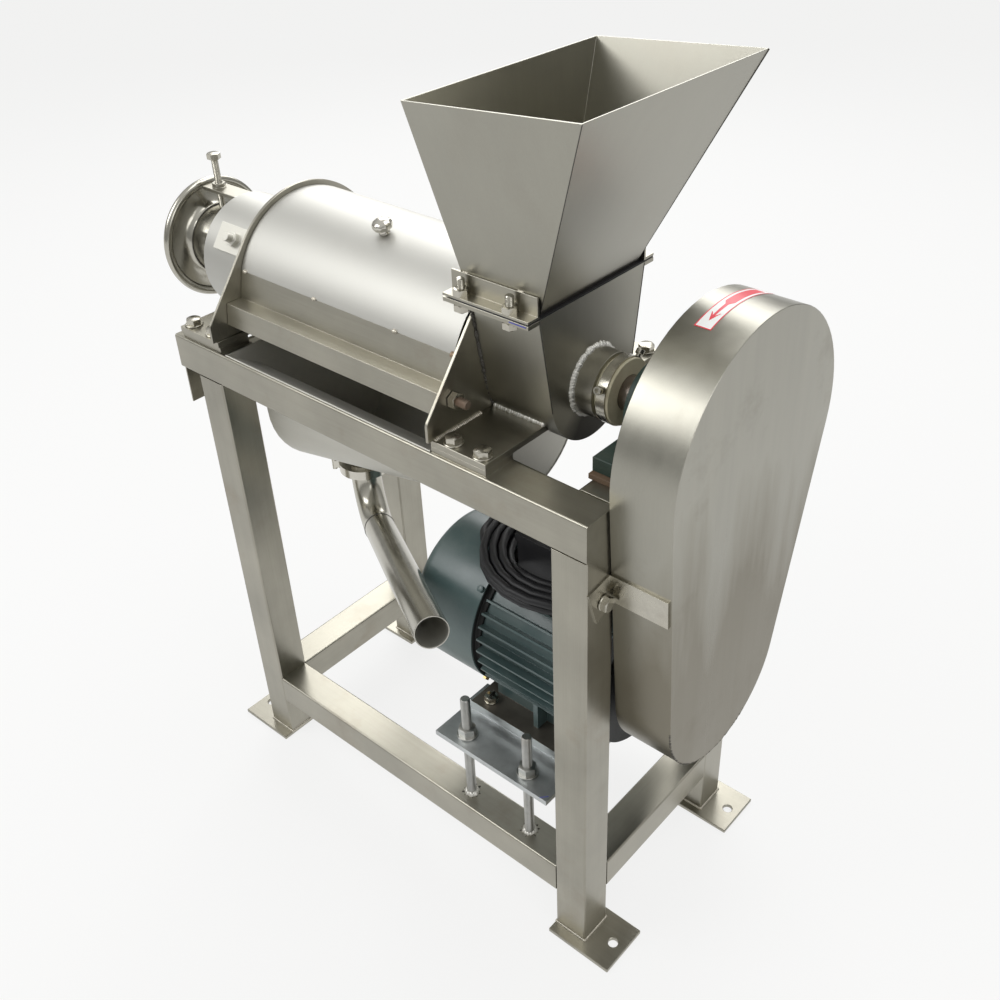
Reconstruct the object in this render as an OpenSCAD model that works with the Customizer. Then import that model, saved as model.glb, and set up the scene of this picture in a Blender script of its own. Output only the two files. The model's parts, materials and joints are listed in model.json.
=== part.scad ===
// Industrial juice extractor: a feed screw in a perforated drum, driven by a belt from a
// motor that hangs in the same square-tube frame. Millimetres, +Z up, +X towards the belt
// guard. The origin is on the floor, in the middle of the four foot bolts.

/* [Frame] */
// Side of the square tube
tube = 50; // [46:1:54]
// Wall of the square tube
tube_wall = 3; // [2:0.5:4]
// Length of the frame over its legs, beyond the press itself
frame_rest = 282; // [272:2:302]
// Width of the frame over its legs
frame_w = 342; // [338:2:350]
// Height of the top rails above the floor
frame_h = 722; // [700:2:760]
// Height of the lower rails' tops above the floor
low_rail_h = 127; // [110:1:150]
// How far the top rails run past the legs at the outlet
rail_over = 39; // [30:1:50]
// Length of a foot plate
foot_l = 102; // [95:1:115]
// Width of a foot plate
foot_w = 78; // [70:1:90]
// Thickness of a foot plate
foot_t = 6; // [4:0.5:10]
// How far a foot plate stands out past its leg, along the frame
foot_out_x = 51; // [45:1:55]
// How far a foot plate stands out past its leg, across the frame
foot_out_y = 16; // [10:1:20]
// Diameter of a foot bolt's hole
foot_hole_d = 14; // [10:0.5:16]
// From a foot bolt's centre to the plate's outer end
foot_hole_edge = 19; // [15:1:24]

/* [Press] */
// From the outlet legs' outside to the outlet end plate's inner face
press_inset = 56; // [53:1:59]
// Clear length between the two end plates
press_l = 388; // [380:1:392]
// Thickness of an end plate
plate_t = 4; // [3:0.5:6]
// Radius of an end plate's arch
plate_r = 126; // [124:1:130]
// Half width of an end plate at its foot
plate_foot_w = 174.5; // [172:0.5:178]
// Height of the straight side at an end plate's foot
plate_foot_h = 29; // [24:1:34]
// Radius of the rounded shoulder of an end plate
plate_corner_r = 9; // [6:1:12]
// Inner radius of the perforated drum and of the feed trough
barrel_r = 72; // [70:0.5:74]
// Wall of the perforated drum
drum_t = 2; // [1.5:0.5:3]
// Gap between the screw's flight and the drum
flight_gap = 1.5; // [1:0.5:2.5]
// Pitch of the screw's flight
flight_pitch = 70; // [60:1:80]
// Radius of the screw's core at the feed end
core_r_feed = 26; // [24:1:30]
// Radius of the screw's core at the outlet end
core_r_out = 55; // [50:1:56]
// Radius of the tip of the screw's tail cone
tail_r = 24; // [20:1:30]

/* [Cover] */
// Outer radius of the cover
hood_r = 119.5; // [118:0.5:121]
// Sheet of the cover
hood_t = 1.5; // [1:0.25:2]
// Gap left between the cover and the feed end plate
hood_gap = 8; // [7:0.5:10]
// Angle of the cover's lower seam below the crown
seam_angle = 69.5; // [66:0.5:72]
// Half width of the cover at the root of its ledge
ledge_in_w = 120; // [119.5:0.5:122]
// Half width of the cover at the outside of its ledge
ledge_out_w = 143; // [141:0.5:146]
// Half width of the cover at the bottom of its lip
lip_w = 147.5; // [146:0.5:150]
// Height of the ledge above the screw's axis
ledge_h = 6.5; // [4:0.5:9]
// How far the lip hangs below the ledge
lip_drop = 28.5; // [22:0.5:31]
// Diameter of the cover's knob
knob_d = 26; // [22:1:32]
// Angle of the knob from the crown
knob_angle = 15; // [5:1:25]

/* [Juice basin] */
// Sheet of the basin
basin_t = 1.5; // [1:0.25:2]
// Radius of the basin's round bottom at the outlet end
basin_r_low = 118.5; // [112:0.5:119]
// Depth of the basin at the outlet end, below the rails' tops
basin_depth_low = 224; // [200:2:236]
// Radius of the basin's round bottom at the feed end
basin_r_high = 105; // [98:0.5:112]
// Depth of the basin at the feed end, below the rails' tops
basin_depth_high = 151; // [140:1:170]
// How far the rails are cut open beside the basin
notch_drop = 31; // [26:1:36]

/* [Juice spout] */
// Outer radius of the spout's pipe
spout_r = 22.5; // [21:0.5:24]
// Wall of the spout's pipe
spout_t = 1.5; // [1:0.25:2]
// Radius of the ferrules' flanges
ferrule_r = 32; // [31:0.25:33]
// Outer radius of the clamp
clamp_r = 38; // [37:0.5:40]
// From the outlet end of the basin to the spout's centre
spout_inset = 50; // [48:1:55]
// Length of the spout's straight tail
spout_run = 338; // [300:2:350]
// Rise of the tail above level, degrees
spout_rise = 12.5; // [11:0.5:15]

/* [Outlet] */
// Outer radius of the outlet sleeve
sleeve_r = 83; // [81:0.5:86]
// Wall of the outlet sleeve
sleeve_t = 3; // [2:0.5:4]
// Length of the outlet sleeve
sleeve_l = 125; // [115:1:135]
// Outer radius of the horn's neck
neck_r = 50; // [48:0.5:52]
// Wall of the horn's neck
neck_t = 4; // [3:0.5:5]
// From the sleeve's end to the horn's flare
neck_show = 70; // [66:1:76]
// How far the neck reaches into the sleeve
neck_in = 56; // [50:1:60]
// Radius of the horn's rolled rim, to the middle of the roll
rim_r = 82.5; // [80:0.5:86]
// Radius of the roll of the rim
rim_roll = 6; // [5:0.5:7]
// Depth of the horn's flare
flare_l = 14; // [12:0.5:20]

/* [Feed] */
// Length of the feed box
box_l = 99; // [96:1:102]
// Wall of the feed box
box_t = 3; // [2:0.5:4]
// Half width of the feed box at its top
box_top_w = 94.5; // [93:0.5:96]
// Height of the feed box's top above the screw's axis
box_top_h = 111; // [110:1:114]
// Thickness of the lower flange strips
flange_t = 5; // [4:0.5:6]
// Thickness of the upper flange's angle
angle_t = 3; // [2.5:0.5:4]
// Thickness of the gasket between the flanges
gasket_t = 2; // [1.5:0.5:3]
// Width of the flange strips
flange_w = 18; // [16:0.5:20]
// How far the flange strips reach past the feed end plate, over the cover
flange_over = 19; // [15:0.5:23]
// Height of the upper flange's upright leg
flange_leg = 25; // [20:1:28]
// Sheet of the hopper
hopper_t = 2; // [1.5:0.5:3]
// Half width of the hopper at its bottom
hopper_low_w = 86.5; // [84:0.5:86.5]
// Half width of the hopper at its rim
hopper_rim_w = 154; // [140:1:165]
// How far the hopper's bottom reaches past the feed end plate, over the cover
hopper_over = 6; // [4:0.5:6.5]
// How far the hopper's bottom ends short of the feed box, drive side
hopper_short = 5; // [3:0.5:8]
// How far the rim stands back from the hopper's bottom edge, outlet side
hopper_back = 8.5; // [3:0.5:10]
// How far the rim stands out from the hopper's bottom edge, drive side
hopper_out = 107.5; // [95:0.5:120]
// Height of the hopper's rim above its bottom, outlet side
hopper_h0 = 219; // [200:1:240]
// Height of the hopper's rim above its bottom, drive side
hopper_h1 = 236; // [215:1:256]

/* [Drive] */
// Radius of the drive shaft in its bush
shaft_r = 21; // [20.5:0.25:22]
// Radius of the drive shaft in its bearing and pulley
journal_r = 20; // [19:0.25:20.25]
// Height of the shaft above the pillow block's foot
bearing_h = 49.2; // [48:0.2:51]
// Plate under the pillow block
spacer_t = 6.8; // [6:0.2:8]
// Radius of the screw's pulley
pulley_big_r = 105; // [100:1:108]
// Radius of the motor's pulley
pulley_small_r = 40; // [37:1:42]
// Radius of the pipe around the shaft on the feed box
hub_r = 41; // [40:0.5:43]
// Length of the pipe around the shaft
hub_l = 28; // [24:1:30]

/* [Belt guard] */
// Radius of the guard's top
guard_top_r = 165; // [162:1:170]
// Radius of the guard's bottom
guard_low_r = 118; // [115:1:124]
// Depth of the guard
guard_depth = 80; // [76:1:90]
// Sheet of the guard
guard_t = 1.5; // [1:0.25:2]
// Offset of the guard's top from the middle
guard_top_y = 28.5; // [24:0.5:32]
// Depth of the guard's top centre below the screw's axis
guard_top_drop = 33; // [28:1:38]
// Height of the guard's bottom centre above the motor's axis
guard_low_rise = 56; // [48:1:62]
// Width of the strap that holds the guard
strap_w = 40; // [34:1:46]

/* [Motor] */
// Height of the motor's shaft above its feet
motor_h = 112; // [112:1:114]
// Radius of the stator under its fins
stator_r = 100; // [97:1:101]
// Height of a cooling fin
fin_h = 12; // [8:0.5:12]
// Number of cooling fins
fin_count = 36; // [24:2:40]
// Outer radius of the fan cover
fan_cover_r = 113; // [111:0.5:115]
// Thickness of the plate that carries the motor
motor_plate_t = 8; // [6:0.5:12]
// Height of that plate's underside above the lower rails
motor_plate_rise = 110; // [100:1:120]
// Length of that plate
motor_plate_l = 199; // [196:1:206]
// Radius of the threaded studs that carry the plate
stud_r = 7; // [6:0.5:8]
// Length of these studs above the lower rails
stud_l = 187; // [180:1:200]
// Bars between the plate and the motor's feet
packing_t = 15; // [13:1:18]
// Diameter of the power cable
cable_d = 11; // [9:0.5:11]

/* [Hidden] */
$fn = 64;
over = 1;
fit_gap = 0.3;
slide_gap = 0.08;
hull_fn = 32;

// Frame, worked out
frame_l = press_l + frame_rest;
leg_x = frame_l/2;
press_x0 = press_inset - leg_x;
leg_y = frame_w/2;
rail_in = leg_y - tube;
foot_cx = leg_x + foot_out_x - foot_l/2;
foot_cy = leg_y + foot_out_y - foot_w/2;
foot_hole_x = leg_x + foot_out_x - foot_hole_edge;
pad_t = 8;
pad_inset = 4;
base_t = 8;
base_in = 2;
base_out_l = 79;
base_feed_l = 83;
base_side_in = 2;
base_root_w = 40;
base_x0 = press_x0 - base_out_l;
base_x1 = press_x0 + base_in;
base_top = frame_h + pad_t + base_t;
axis_z = frame_h + spacer_t + bearing_h;
press_x1 = press_x0 + press_l;
box_x0 = press_x1 + plate_t;
box_x1 = box_x0 + box_l;
base_feed_x1 = press_x1 + base_feed_l;
basin_gap_out = 12;
basin_gap_feed = 2;
basin_x0 = press_x0 + basin_gap_out;
basin_x1 = press_x1 - basin_gap_feed;
notch_x0 = basin_x0 - 2*basin_gap_feed;
left_rail_drop = 82;
base_bolt_edge_y = 16;
base_bolt_edge_x = 12;
base_bolt_pitch = 44;
base_bolt_feed_x = 25;

// Motor, worked out
plate_top = low_rail_h + motor_plate_rise + motor_plate_t;
foot_z = plate_top + packing_t;
motor_z = foot_z + motor_h;
motor_plate_inset = 265;
motor_plate_x0 = leg_x - motor_plate_inset;
motor_plate_gap = 2;
stud_edge_x = 39.5;
stud_x0 = motor_plate_x0 + stud_edge_x;
stud_pitch = 109;
stud_y = leg_y - tube/2;
stud_foot_h = 5;
nut_af = 22;
nut_t = 12;
nut_washer_r = 15;
nut_washer_t = 3;
stator_inset = 232;
stator_x0 = leg_x - stator_inset;
stator_l = 184;
stator_x1 = stator_x0 + stator_l;
rotor_r = 59;
rotor_gap = 0.8;
rotor_inset = 12;
shield_t = 8;
shield_r = 104;
shield_lip_t = 12;
shield_cone_r = 62;
shield_front_t = 16;
shoulder_out = 33;
shoulder_x = stator_x1 + shoulder_out;
motor_shaft_r = 14;
motor_seat_r = 19;
motor_tail_r = 12;
motor_foot_t = 10;
motor_foot_y = 113;
motor_foot_in = 60;
motor_foot_back = 15;
motor_foot_x0 = stator_x0 - motor_foot_back;
motor_foot_l = 184;
foot_bolt_in = 7;
foot_bolt_x0 = stator_x0 + foot_bolt_in;
foot_bolt_pitch = 140;
foot_bolt_y = 95;
foot_nut_t = 8;
web_y = 66;
web_t = 10;
rib_t = 8;
fin_t = 3;
seat_in = 22;
seat_x0 = stator_x0 + seat_in;
seat_short = 94;
seat_l = stator_l - seat_short;
seat_rise = 104;
seat_top = motor_z + seat_rise;
tbox_wall = 4;
tbox_h = 54;
tbox_lid = 12;
packing_in = 66;
packing_w = 40;
packing_over = 12;
fan_cover_back = 123;
fan_cover_x0 = stator_x0 - fan_cover_back;
fan_cover_t = 2;
fan_cover_edge = 18;
fan_r = 88;
fan_blades = 7;
fan_hub_r = 24;
fan_back = 81;
fan_x0 = stator_x0 - fan_back;
fan_l = 34;
fan_blade_t = 3;
grille_count = 20;
grille_w = 6;
grille_r0 = 34;
grille_r1 = 78;
cover_screw_r = 5;
cover_screw_h = 4;
cover_screw_angles = [45, 135, 225, 315];

// Drive, worked out
pulley_inset = 10;
pulley_x0 = leg_x + pulley_inset;
pulley_w = 35;
groove_top = 13.6;
groove_low = 7;
groove_deep = 11;
groove_pitch = 15;
groove_edge = 10;
belt_sink = 0.5;
belt_step = 4;
belt_deep = 8;
belt_outer_w = 10.4;
belt_inner_w = 8;
pulley_hub_r = 34;
pulley_rim_r = 86;
pulley_web_t = 12;
shaft_over = 12;
shaft_end = pulley_x0 + pulley_w + shaft_over;
block_w = 54;
bearing_x = leg_x - block_w/2;
block_l = 184;
block_foot_t = 18;
block_r = 49;
block_body_w = 38;
block_bolt_y = 68.5;
race_out_r = 40;
race_in_r = 34;
inner_race_r = 26;
ball_r = 3.7;
ball_count = 12;
insert_w = 30;
inner_w = 48;
spacer_l = 198;
box_face_t = 4;
screw_gap = 3;
screw_x1 = box_x1 - box_face_t - screw_gap;
flight_over = 21;
screw_x0 = press_x0 - flight_over;
tail_l = 125;
key_w = 8;
key_out = 3;
key_gap = 0.1;

// Fasteners
m12_r = 6;
m12_af = 18;
m12_head = 7.5;
m10_r = 5;
m10_af = 17;
m10_nut = 8;
washer_r = 12;
washer_t = 2.5;
washer_small_r = 10;
hole_gap = 0.3;
bolt_reach = 6;
hex_round = cos(30);

// Guard, worked out
guard_back = 2;
guard_low_y = 2;
guard_x0 = leg_x + guard_back;
guard_x1 = guard_x0 + guard_depth;
guard_top = [guard_top_y, axis_z - guard_top_drop];
guard_low = [guard_low_y, motor_z + guard_low_rise];
strap_t = 3;
strap_inset = 3;
strap_top_drop = 85;
strap_top_z = frame_h - strap_top_drop;
strap_bolt_edge = 27.4;
strap_bolt_low = 32;

// Colours
steel = [0.66, 0.65, 0.61];
bright = [0.82, 0.82, 0.80];
blasted = [0.80, 0.79, 0.75];
zinc = [0.55, 0.57, 0.58];
teal = [0.30, 0.38, 0.39];
dark_green = [0.13, 0.22, 0.19];
nylon = [0.80, 0.77, 0.62];
black = [0.07, 0.07, 0.08];
cast = [0.30, 0.31, 0.32];

// A flat outline in (y, z) drawn out along X
module along_x(x0, x1) translate([x0, 0, 0]) rotate([90, 0, 90]) linear_extrude(x1 - x0) children();

// A flat outline in (x, z) drawn out along Y
module along_y(y0, y1) translate([0, y1, 0]) rotate([90, 0, 0]) linear_extrude(y1 - y0) children();

// A round bar along X
module rod_x(x0, x1, r, y = 0, z = axis_z) translate([x0, y, z]) rotate([0, 90, 0]) cylinder(r = r, h = x1 - x0);

// A turned piece about an axis along X: points are [radius, x]
module turned_x(points, z = axis_z) translate([0, 0, z]) rotate([0, 90, 0]) rotate_extrude() polygon(points);

// A hexagon prism standing on Z, by its width across flats
module hex(af, h) cylinder(r = af/2/hex_round, h = h, $fn = 6);

// Both sides of the machine
module both_sides() { children(); mirror([0, 1, 0]) children(); }

// The local +Z axis turned to an angle about the screw's axis, from +Y towards +Z
module radial(angle, x = 0) translate([x, 0, axis_z]) rotate([angle - 90, 0, 0]) children();

// A bent strip of sheet: the outer points, and the same points one thickness to the left
function unit(v) = v/norm(v);
function left_of(v) = [-v[1], v[0]];
function strip(p, t) = concat(p, [for (i = [len(p) - 1:-1:0])
  let (a = unit(i > 0 ? p[i] - p[i - 1] : p[1] - p[0]),
       b = unit(i < len(p) - 1 ? p[i + 1] - p[i] : p[i] - p[i - 1]),
       m = left_of(a) + left_of(b)) p[i] + m*t*2/(m*m)]);

// The four points where the outer tangents touch two circles
function tangent_quad(c1, r1, c2, r2) =
  let (d = c2 - c1, a = atan2(d[1], d[0]), b = acos((r1 - r2)/norm(d)))
  [for (s = [[c1, r1, a + b], [c2, r2, a + b], [c2, r2, a - b], [c1, r1, a - b]])
    s[0] + s[1]*[cos(s[2]), sin(s[2])]];
// The same outline as one run of points, its arcs in steps
function rounds_outline(c1, r1, c2, r2, steps) = let (d = c2 - c1, a = atan2(d[1], d[0]), b = acos((r1 - r2)/norm(d)))
  concat([for (i = [0:steps]) let (t = a + b + (360 - 2*b)*i/steps) c1 + r1*[cos(t), sin(t)]],
    [for (i = [0:steps]) let (t = a - b + 2*b*i/steps) c2 + r2*[cos(t), sin(t)]]);
module two_rounds(c1, r1, c2, r2) {
  translate(c1) circle(r = r1);
  translate(c2) circle(r = r2);
  polygon(tangent_quad(c1, r1, c2, r2));
}

// Frame
module tube_x(x0, x1, y, z, closed = 0) difference() {
  translate([x0, y, z]) cube([x1 - x0, tube, tube]);
  translate([x0 + (closed == 1 ? tube_wall : -over), y + tube_wall, z + tube_wall])
    cube([x1 - x0 + (closed == 1 ? -2*tube_wall : 2*over), tube - 2*tube_wall, tube - 2*tube_wall]);
}
module tube_y(x, z) difference() {
  translate([x, -rail_in, z]) cube([tube, 2*rail_in, tube]);
  translate([x + tube_wall, -rail_in - over, z + tube_wall])
    cube([tube - 2*tube_wall, 2*(rail_in + over), tube - 2*tube_wall]);
}
module foot_plates() color(steel) for (sx = [-1, 1], sy = [-1, 1]) difference() {
  translate([sx*foot_cx - foot_l/2, sy*foot_cy - foot_w/2, 0]) cube([foot_l, foot_w, foot_t]);
  translate([sx*foot_hole_x, sy*foot_cy, -over]) cylinder(d = foot_hole_d, h = foot_t + 2*over);
}
module legs() color(steel) for (sx = [-1, 1], sy = [-1, 1]) difference() {
  leg_h = frame_h - tube - foot_t;
  translate([sx*(leg_x - tube/2) - tube/2, sy*(leg_y - tube/2) - tube/2, foot_t]) cube([tube, tube, leg_h]);
  bore = tube - 2*tube_wall;
  translate([sx*(leg_x - tube/2) - bore/2, sy*(leg_y - tube/2) - bore/2, foot_t - over])
    cube([bore, bore, leg_h + 2*over]);
  if (sx > 0) translate([leg_x - 2*tube_wall, sy*(leg_y - strap_bolt_edge), strap_top_z - strap_bolt_low])
    rotate([0, 90, 0]) cylinder(r = m10_r + hole_gap, h = 3*tube_wall);
}
module side_rail_pad(x0, x1) translate([x0, -leg_y + pad_inset, frame_h]) cube([x1 - x0, tube - pad_inset, pad_t]);
base_bolts = [[base_x0 + base_bolt_edge_x, leg_y - base_bolt_edge_y],
  [base_x0 + base_bolt_edge_x + base_bolt_pitch, leg_y - base_bolt_edge_y],
  [press_x1 + base_bolt_feed_x, leg_y - base_bolt_edge_y],
  [press_x1 + base_bolt_feed_x + base_bolt_pitch, leg_y - base_bolt_edge_y]];
module top_side_rails() color(steel) both_sides() difference() {
  union() {
    tube_x(-leg_x - rail_over, leg_x, -leg_y, frame_h - tube, 1);
    side_rail_pad(base_x0, base_x1);
    side_rail_pad(press_x1, base_feed_x1);
  }
  translate([notch_x0, -leg_y + tube_wall, frame_h - notch_drop])
    cube([basin_x1 - notch_x0, tube, notch_drop + over]);
  for (b = base_bolts) translate([b[0], -b[1], frame_h - tube_wall - over])
    cylinder(r = m12_r + hole_gap, h = tube_wall + pad_t + 2*over);
}
module lower_side_rails() color(steel) both_sides()
  tube_x(-leg_x + tube, leg_x - tube, -leg_y, low_rail_h - tube);
module cross_rails() color(steel) difference() {
  union() {
    tube_y(leg_x - tube, frame_h - tube);
    tube_y(-leg_x, frame_h - left_rail_drop);
    for (x = [-leg_x, leg_x - tube]) tube_y(x, low_rail_h - tube);
  }
  for (s = [-1, 1]) translate([bearing_x, s*block_bolt_y, frame_h - tube_wall - over])
    cylinder(r = m12_r + hole_gap, h = tube_wall + 2*over);
}
module base_plates() color(steel) both_sides() difference() {
  base_h = frame_h + pad_t;
  union() {
    translate([base_x0, base_root_w, base_h]) cube([base_x1 - base_x0, leg_y - base_side_in - base_root_w, base_t]);
    translate([press_x1, base_root_w, base_h])
      cube([base_feed_x1 - press_x1, leg_y - pad_inset - base_root_w, base_t]);
  }
  rod_x(base_x0 - over, base_x1 + over, sleeve_r + hole_gap);
  rod_x(press_x1 - over, box_x0, collar_plate_r + hole_gap);
  rod_x(box_x0 - over, base_feed_x1 + over, box_r + hole_gap);
  for (b = base_bolts) translate([b[0], b[1], base_h - over]) cylinder(r = m12_r + hole_gap, h = base_t + 2*over);
}

// A hexagon bolt standing on a washer at z = 0, its shank running down
module hex_bolt(shank, shank_l, af, head_h, washer) {
  cylinder(r = washer, h = washer_t);
  translate([0, 0, washer_t]) hex(af, head_h);
  translate([0, 0, -shank_l]) cylinder(r = shank, h = shank_l + washer_t);
}
module frame_bolts() color(bright) {
  grip = base_t + pad_t + tube_wall + bolt_reach;
  for (b = base_bolts, s = [-1, 1]) translate([b[0], s*b[1], base_top])
    hex_bolt(m12_r, grip, m12_af, m12_head, washer_r);
  for (s = [-1, 1]) translate([bearing_x, s*block_bolt_y, frame_h + spacer_t + block_foot_t])
    hex_bolt(m12_r, block_foot_t + spacer_t + tube_wall + bolt_reach, m12_af, m12_head, washer_r);
  for (s = [-1, 1]) translate([guard_x0, s*(leg_y - strap_bolt_edge), strap_top_z - strap_bolt_low])
    rotate([0, 90, 0]) hex_bolt(m10_r, guard_back + tube_wall + bolt_reach, m10_af, m10_nut, washer_small_r);
}

// Press
box_r = barrel_r + box_t;
collar_plate_r = barrel_r + 2*plate_t - over;
collar_half_w = sqrt(collar_plate_r*collar_plate_r - (axis_z - base_top)*(axis_z - base_top)) - over;
rod_y = (ledge_in_w + ledge_out_w)/2;
rod_z = axis_z + ledge_h - hood_t - hole_gap - m12_r;
plate_arc_steps = 24;
shoulder_steps = 5;
module end_plate_shape(flat_top) {
  // One side of the outline: up the foot, round the shoulder, along the tangent and over the arch
  c = [plate_foot_w - plate_corner_r, base_top + plate_foot_h - plate_corner_r];
  d = c - [0, axis_z];
  a = atan2(d[1], d[0]) + acos((plate_r - plate_corner_r)/norm(d));
  half = concat([[collar_half_w, base_top], [plate_foot_w, base_top]],
    [for (i = [0:shoulder_steps]) let (t = a*i/shoulder_steps) c + plate_corner_r*[cos(t), sin(t)]],
    [for (i = [0:plate_arc_steps]) let (t = a + (90 - a)*i/plate_arc_steps)
      [plate_r*cos(t), min(flat_top, axis_z + plate_r*sin(t))]]);
  n = len(half);
  difference() {
    union() {
      polygon(concat(half, [for (i = [n - 2:-1:0]) [-half[i][0], half[i][1]]]));
      translate([0, axis_z]) circle(r = collar_plate_r);
    }
    translate([0, axis_z]) circle(r = barrel_r);
    for (s = [-1, 1]) translate([s*rod_y, rod_z]) circle(r = m12_r + hole_gap);
  }
}
module end_plate_outlet() color(steel) along_x(press_x0 - plate_t, press_x0) end_plate_shape(axis_z + plate_r + over);
module end_plate_feed() color(steel) along_x(press_x1, box_x0) end_plate_shape(axis_z + box_top_h - flange_t);
rod_end_out = 16;
rod_end_feed = 24;
rod_nut_t = 10;
module tie_rods() color(zinc) for (s = [-1, 1]) {
  rod_x(press_x0 - plate_t - rod_end_out, box_x0 + rod_end_feed, m12_r, s*rod_y, rod_z);
  for (x = [press_x0 - plate_t - rod_nut_t, box_x0])
    translate([x, s*rod_y, rod_z]) rotate([0, 90, 0]) hex(m12_af, rod_nut_t);
}
function seam_point(r) = [r*sin(seam_angle), axis_z + r*cos(seam_angle)];
module hood_shell() color(blasted) along_x(press_x0 + basin_gap_feed/4, press_x1 - hood_gap) difference() {
  translate([0, axis_z]) circle(r = hood_r);
  translate([0, axis_z]) circle(r = hood_r - hood_t);
  span = 2*hood_r;
  for (s = [0, 1]) mirror([s, 0]) translate([0, axis_z]) polygon([[0, 0], span*[sin(seam_angle), cos(seam_angle)],
    [span, -span], [0, -span]]);
}
seam_gap = 0.2;
module hood_ledges() color(blasted) both_sides()
  along_x(press_x0 + basin_gap_feed/4, press_x1 - basin_gap_feed/4)
    polygon(strip([seam_point(hood_r) - [0, seam_gap], [ledge_in_w, axis_z + ledge_h],
      [ledge_out_w, axis_z + ledge_h], [lip_w, axis_z + ledge_h - lip_drop]], -hood_t));
knob_x = press_x0 + press_l/2;
knob_neck_r = 6;
knob_neck_h = 9;
knob_round = 4;
knob_crown_share = 3.4;
module hood_knob() color(bright) radial(90 + knob_angle, knob_x) translate([0, 0, hood_r])
  rotate_extrude() polygon([[0, 0], [knob_neck_r, 0], [knob_neck_r, knob_neck_h], [knob_d/2 - knob_round/2, knob_neck_h],
    [knob_d/2, knob_neck_h + knob_round/2], [knob_d/2, knob_neck_h + 2*knob_round],
    [knob_d/2 - knob_round, knob_neck_h + 3*knob_round], [0, knob_neck_h + knob_crown_share*knob_round]]);

// The basin: a ruled trough between two cross-sections, its bottom falling to the outlet end
wall_top_drop = 32;
wall_side_gap = 2;
wall_half_w = rail_in - wall_side_gap;
basin_tip_gap = 0.1;
basin_arc_steps = 22;
function basin_section(r, depth) = let (half = concat([[leg_y - tube_wall - basin_tip_gap, frame_h],
    [wall_half_w, frame_h - wall_top_drop]]),
    cz = frame_h - depth + r)
  concat(half, [for (i = [0:basin_arc_steps]) let (a = -180*i/basin_arc_steps) [r*cos(a), cz + r*sin(a)]],
    [for (i = [1, 0]) [-half[i][0], half[i][1]]]);
basin_low = basin_section(basin_r_low, basin_depth_low);
basin_high = basin_section(basin_r_high, basin_depth_high);
function inward(p) = [for (i = [0:len(p) - 1])
  let (a = i > 0 ? unit(p[i] - p[i - 1]) : unit(p[1] - p[0]),
       b = i < len(p) - 1 ? unit(p[i + 1] - p[i]) : unit(p[i] - p[i - 1]),
       m = left_of(a) + left_of(b))
  p[i] - m*basin_t*2/(m*m)];
// The sheet as one closed skin: outer and inner section at both ends
module basin_sheet() {
  n = len(basin_low);
  e = n - 1;
  ends = [[basin_x0, basin_low], [basin_x0, inward(basin_low)], [basin_x1, basin_high], [basin_x1, inward(basin_high)]];
  polyhedron(points = [for (s = ends, v = s[1]) [s[0], v[0], v[1]]], faces = concat(
    [for (i = [0:n - 2]) each [[i + 1, 2*n + i, i], [2*n + i + 1, 2*n + i, i + 1],
      [3*n + i, n + i + 1, n + i], [3*n + i, 3*n + i + 1, n + i + 1],
      [n + i, i + 1, i], [n + i, n + i + 1, i + 1],
      [2*n + i + 1, 3*n + i, 2*n + i], [3*n + i + 1, 3*n + i, 2*n + i + 1]]],
    [[3*n, n, 0], [2*n, 3*n, 0], [3*n + e, 2*n + e, e], [n + e, 3*n + e, e]]));
}
function between(p, q, u) = [for (i = [0:len(p) - 1]) p[i]*(1 - u) + q[i]*u];
spout_x = basin_x0 + spout_inset;
module juice_basin() color(steel) difference() {
  union() {
    basin_sheet();
    for (e = [[basin_x0 + basin_t/2, basin_low], [basin_x1 - basin_t*3/2, basin_high]])
      along_x(e[0], e[0] + basin_t) difference() {
        polygon(between(e[1], inward(e[1]), 0.5));
        translate([0, axis_z]) circle(r = barrel_r + drum_t + hole_gap);
      }
  }
  translate([spout_x, 0, frame_h - basin_depth_low - tube]) cylinder(r = spout_r + hole_gap, h = 2*tube);
}

// The drum, with some of its holes as coarse ones
drum_hole_r = 4;
drum_rows = 10;
drum_ring = 6;
drum_hole_step = press_l/drum_rows;
drum_hole_angle = 18;
module screen_drum() color(bright) difference() {
  rod_x(press_x0, press_x1, barrel_r + drum_t);
  rod_x(press_x0 - over, press_x1 + over, barrel_r);
  for (i = [0:drum_rows - 1], j = [0:drum_ring - 1])
    radial(270 + drum_hole_angle*(j - (drum_ring - 1)/2), press_x0 + drum_hole_step/2 + drum_hole_step*i)
      cylinder(r = drum_hole_r, h = 2*barrel_r);
}
flight_t = 5;
flight_arc = 360*flight_t/flight_pitch;
flight_lead = 12;
screw_l = screw_x1 - screw_x0;
rings_per_turn = 20;
core_sides = 16;
core_skin = 0.6;
function screw_ring(x, turn, core, blade) = concat(
  [for (i = [0:2]) let (a = turn + flight_arc*i/2) [x, blade*cos(a), axis_z + blade*sin(a)]],
  [for (i = [0:core_sides]) let (a = turn + flight_arc + (360 - flight_arc)*i/core_sides)
    [x, core*cos(a), axis_z + core*sin(a)]]);
module ring_loft(rings) {
  n = len(rings[0]);
  m = len(rings);
  polyhedron(points = [for (r = rings) each r], faces = concat([[for (i = [n - 1:-1:0]) i]],
    [[for (i = [0:n - 1]) (m - 1)*n + i]],
    [for (k = [0:m - 2], i = [0:n - 1]) let (j = (i + 1)%n, p = k*n, q = (k + 1)*n)
      each [[p + i, p + j, q + i], [p + j, q + j, q + i]]]));
}
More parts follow.
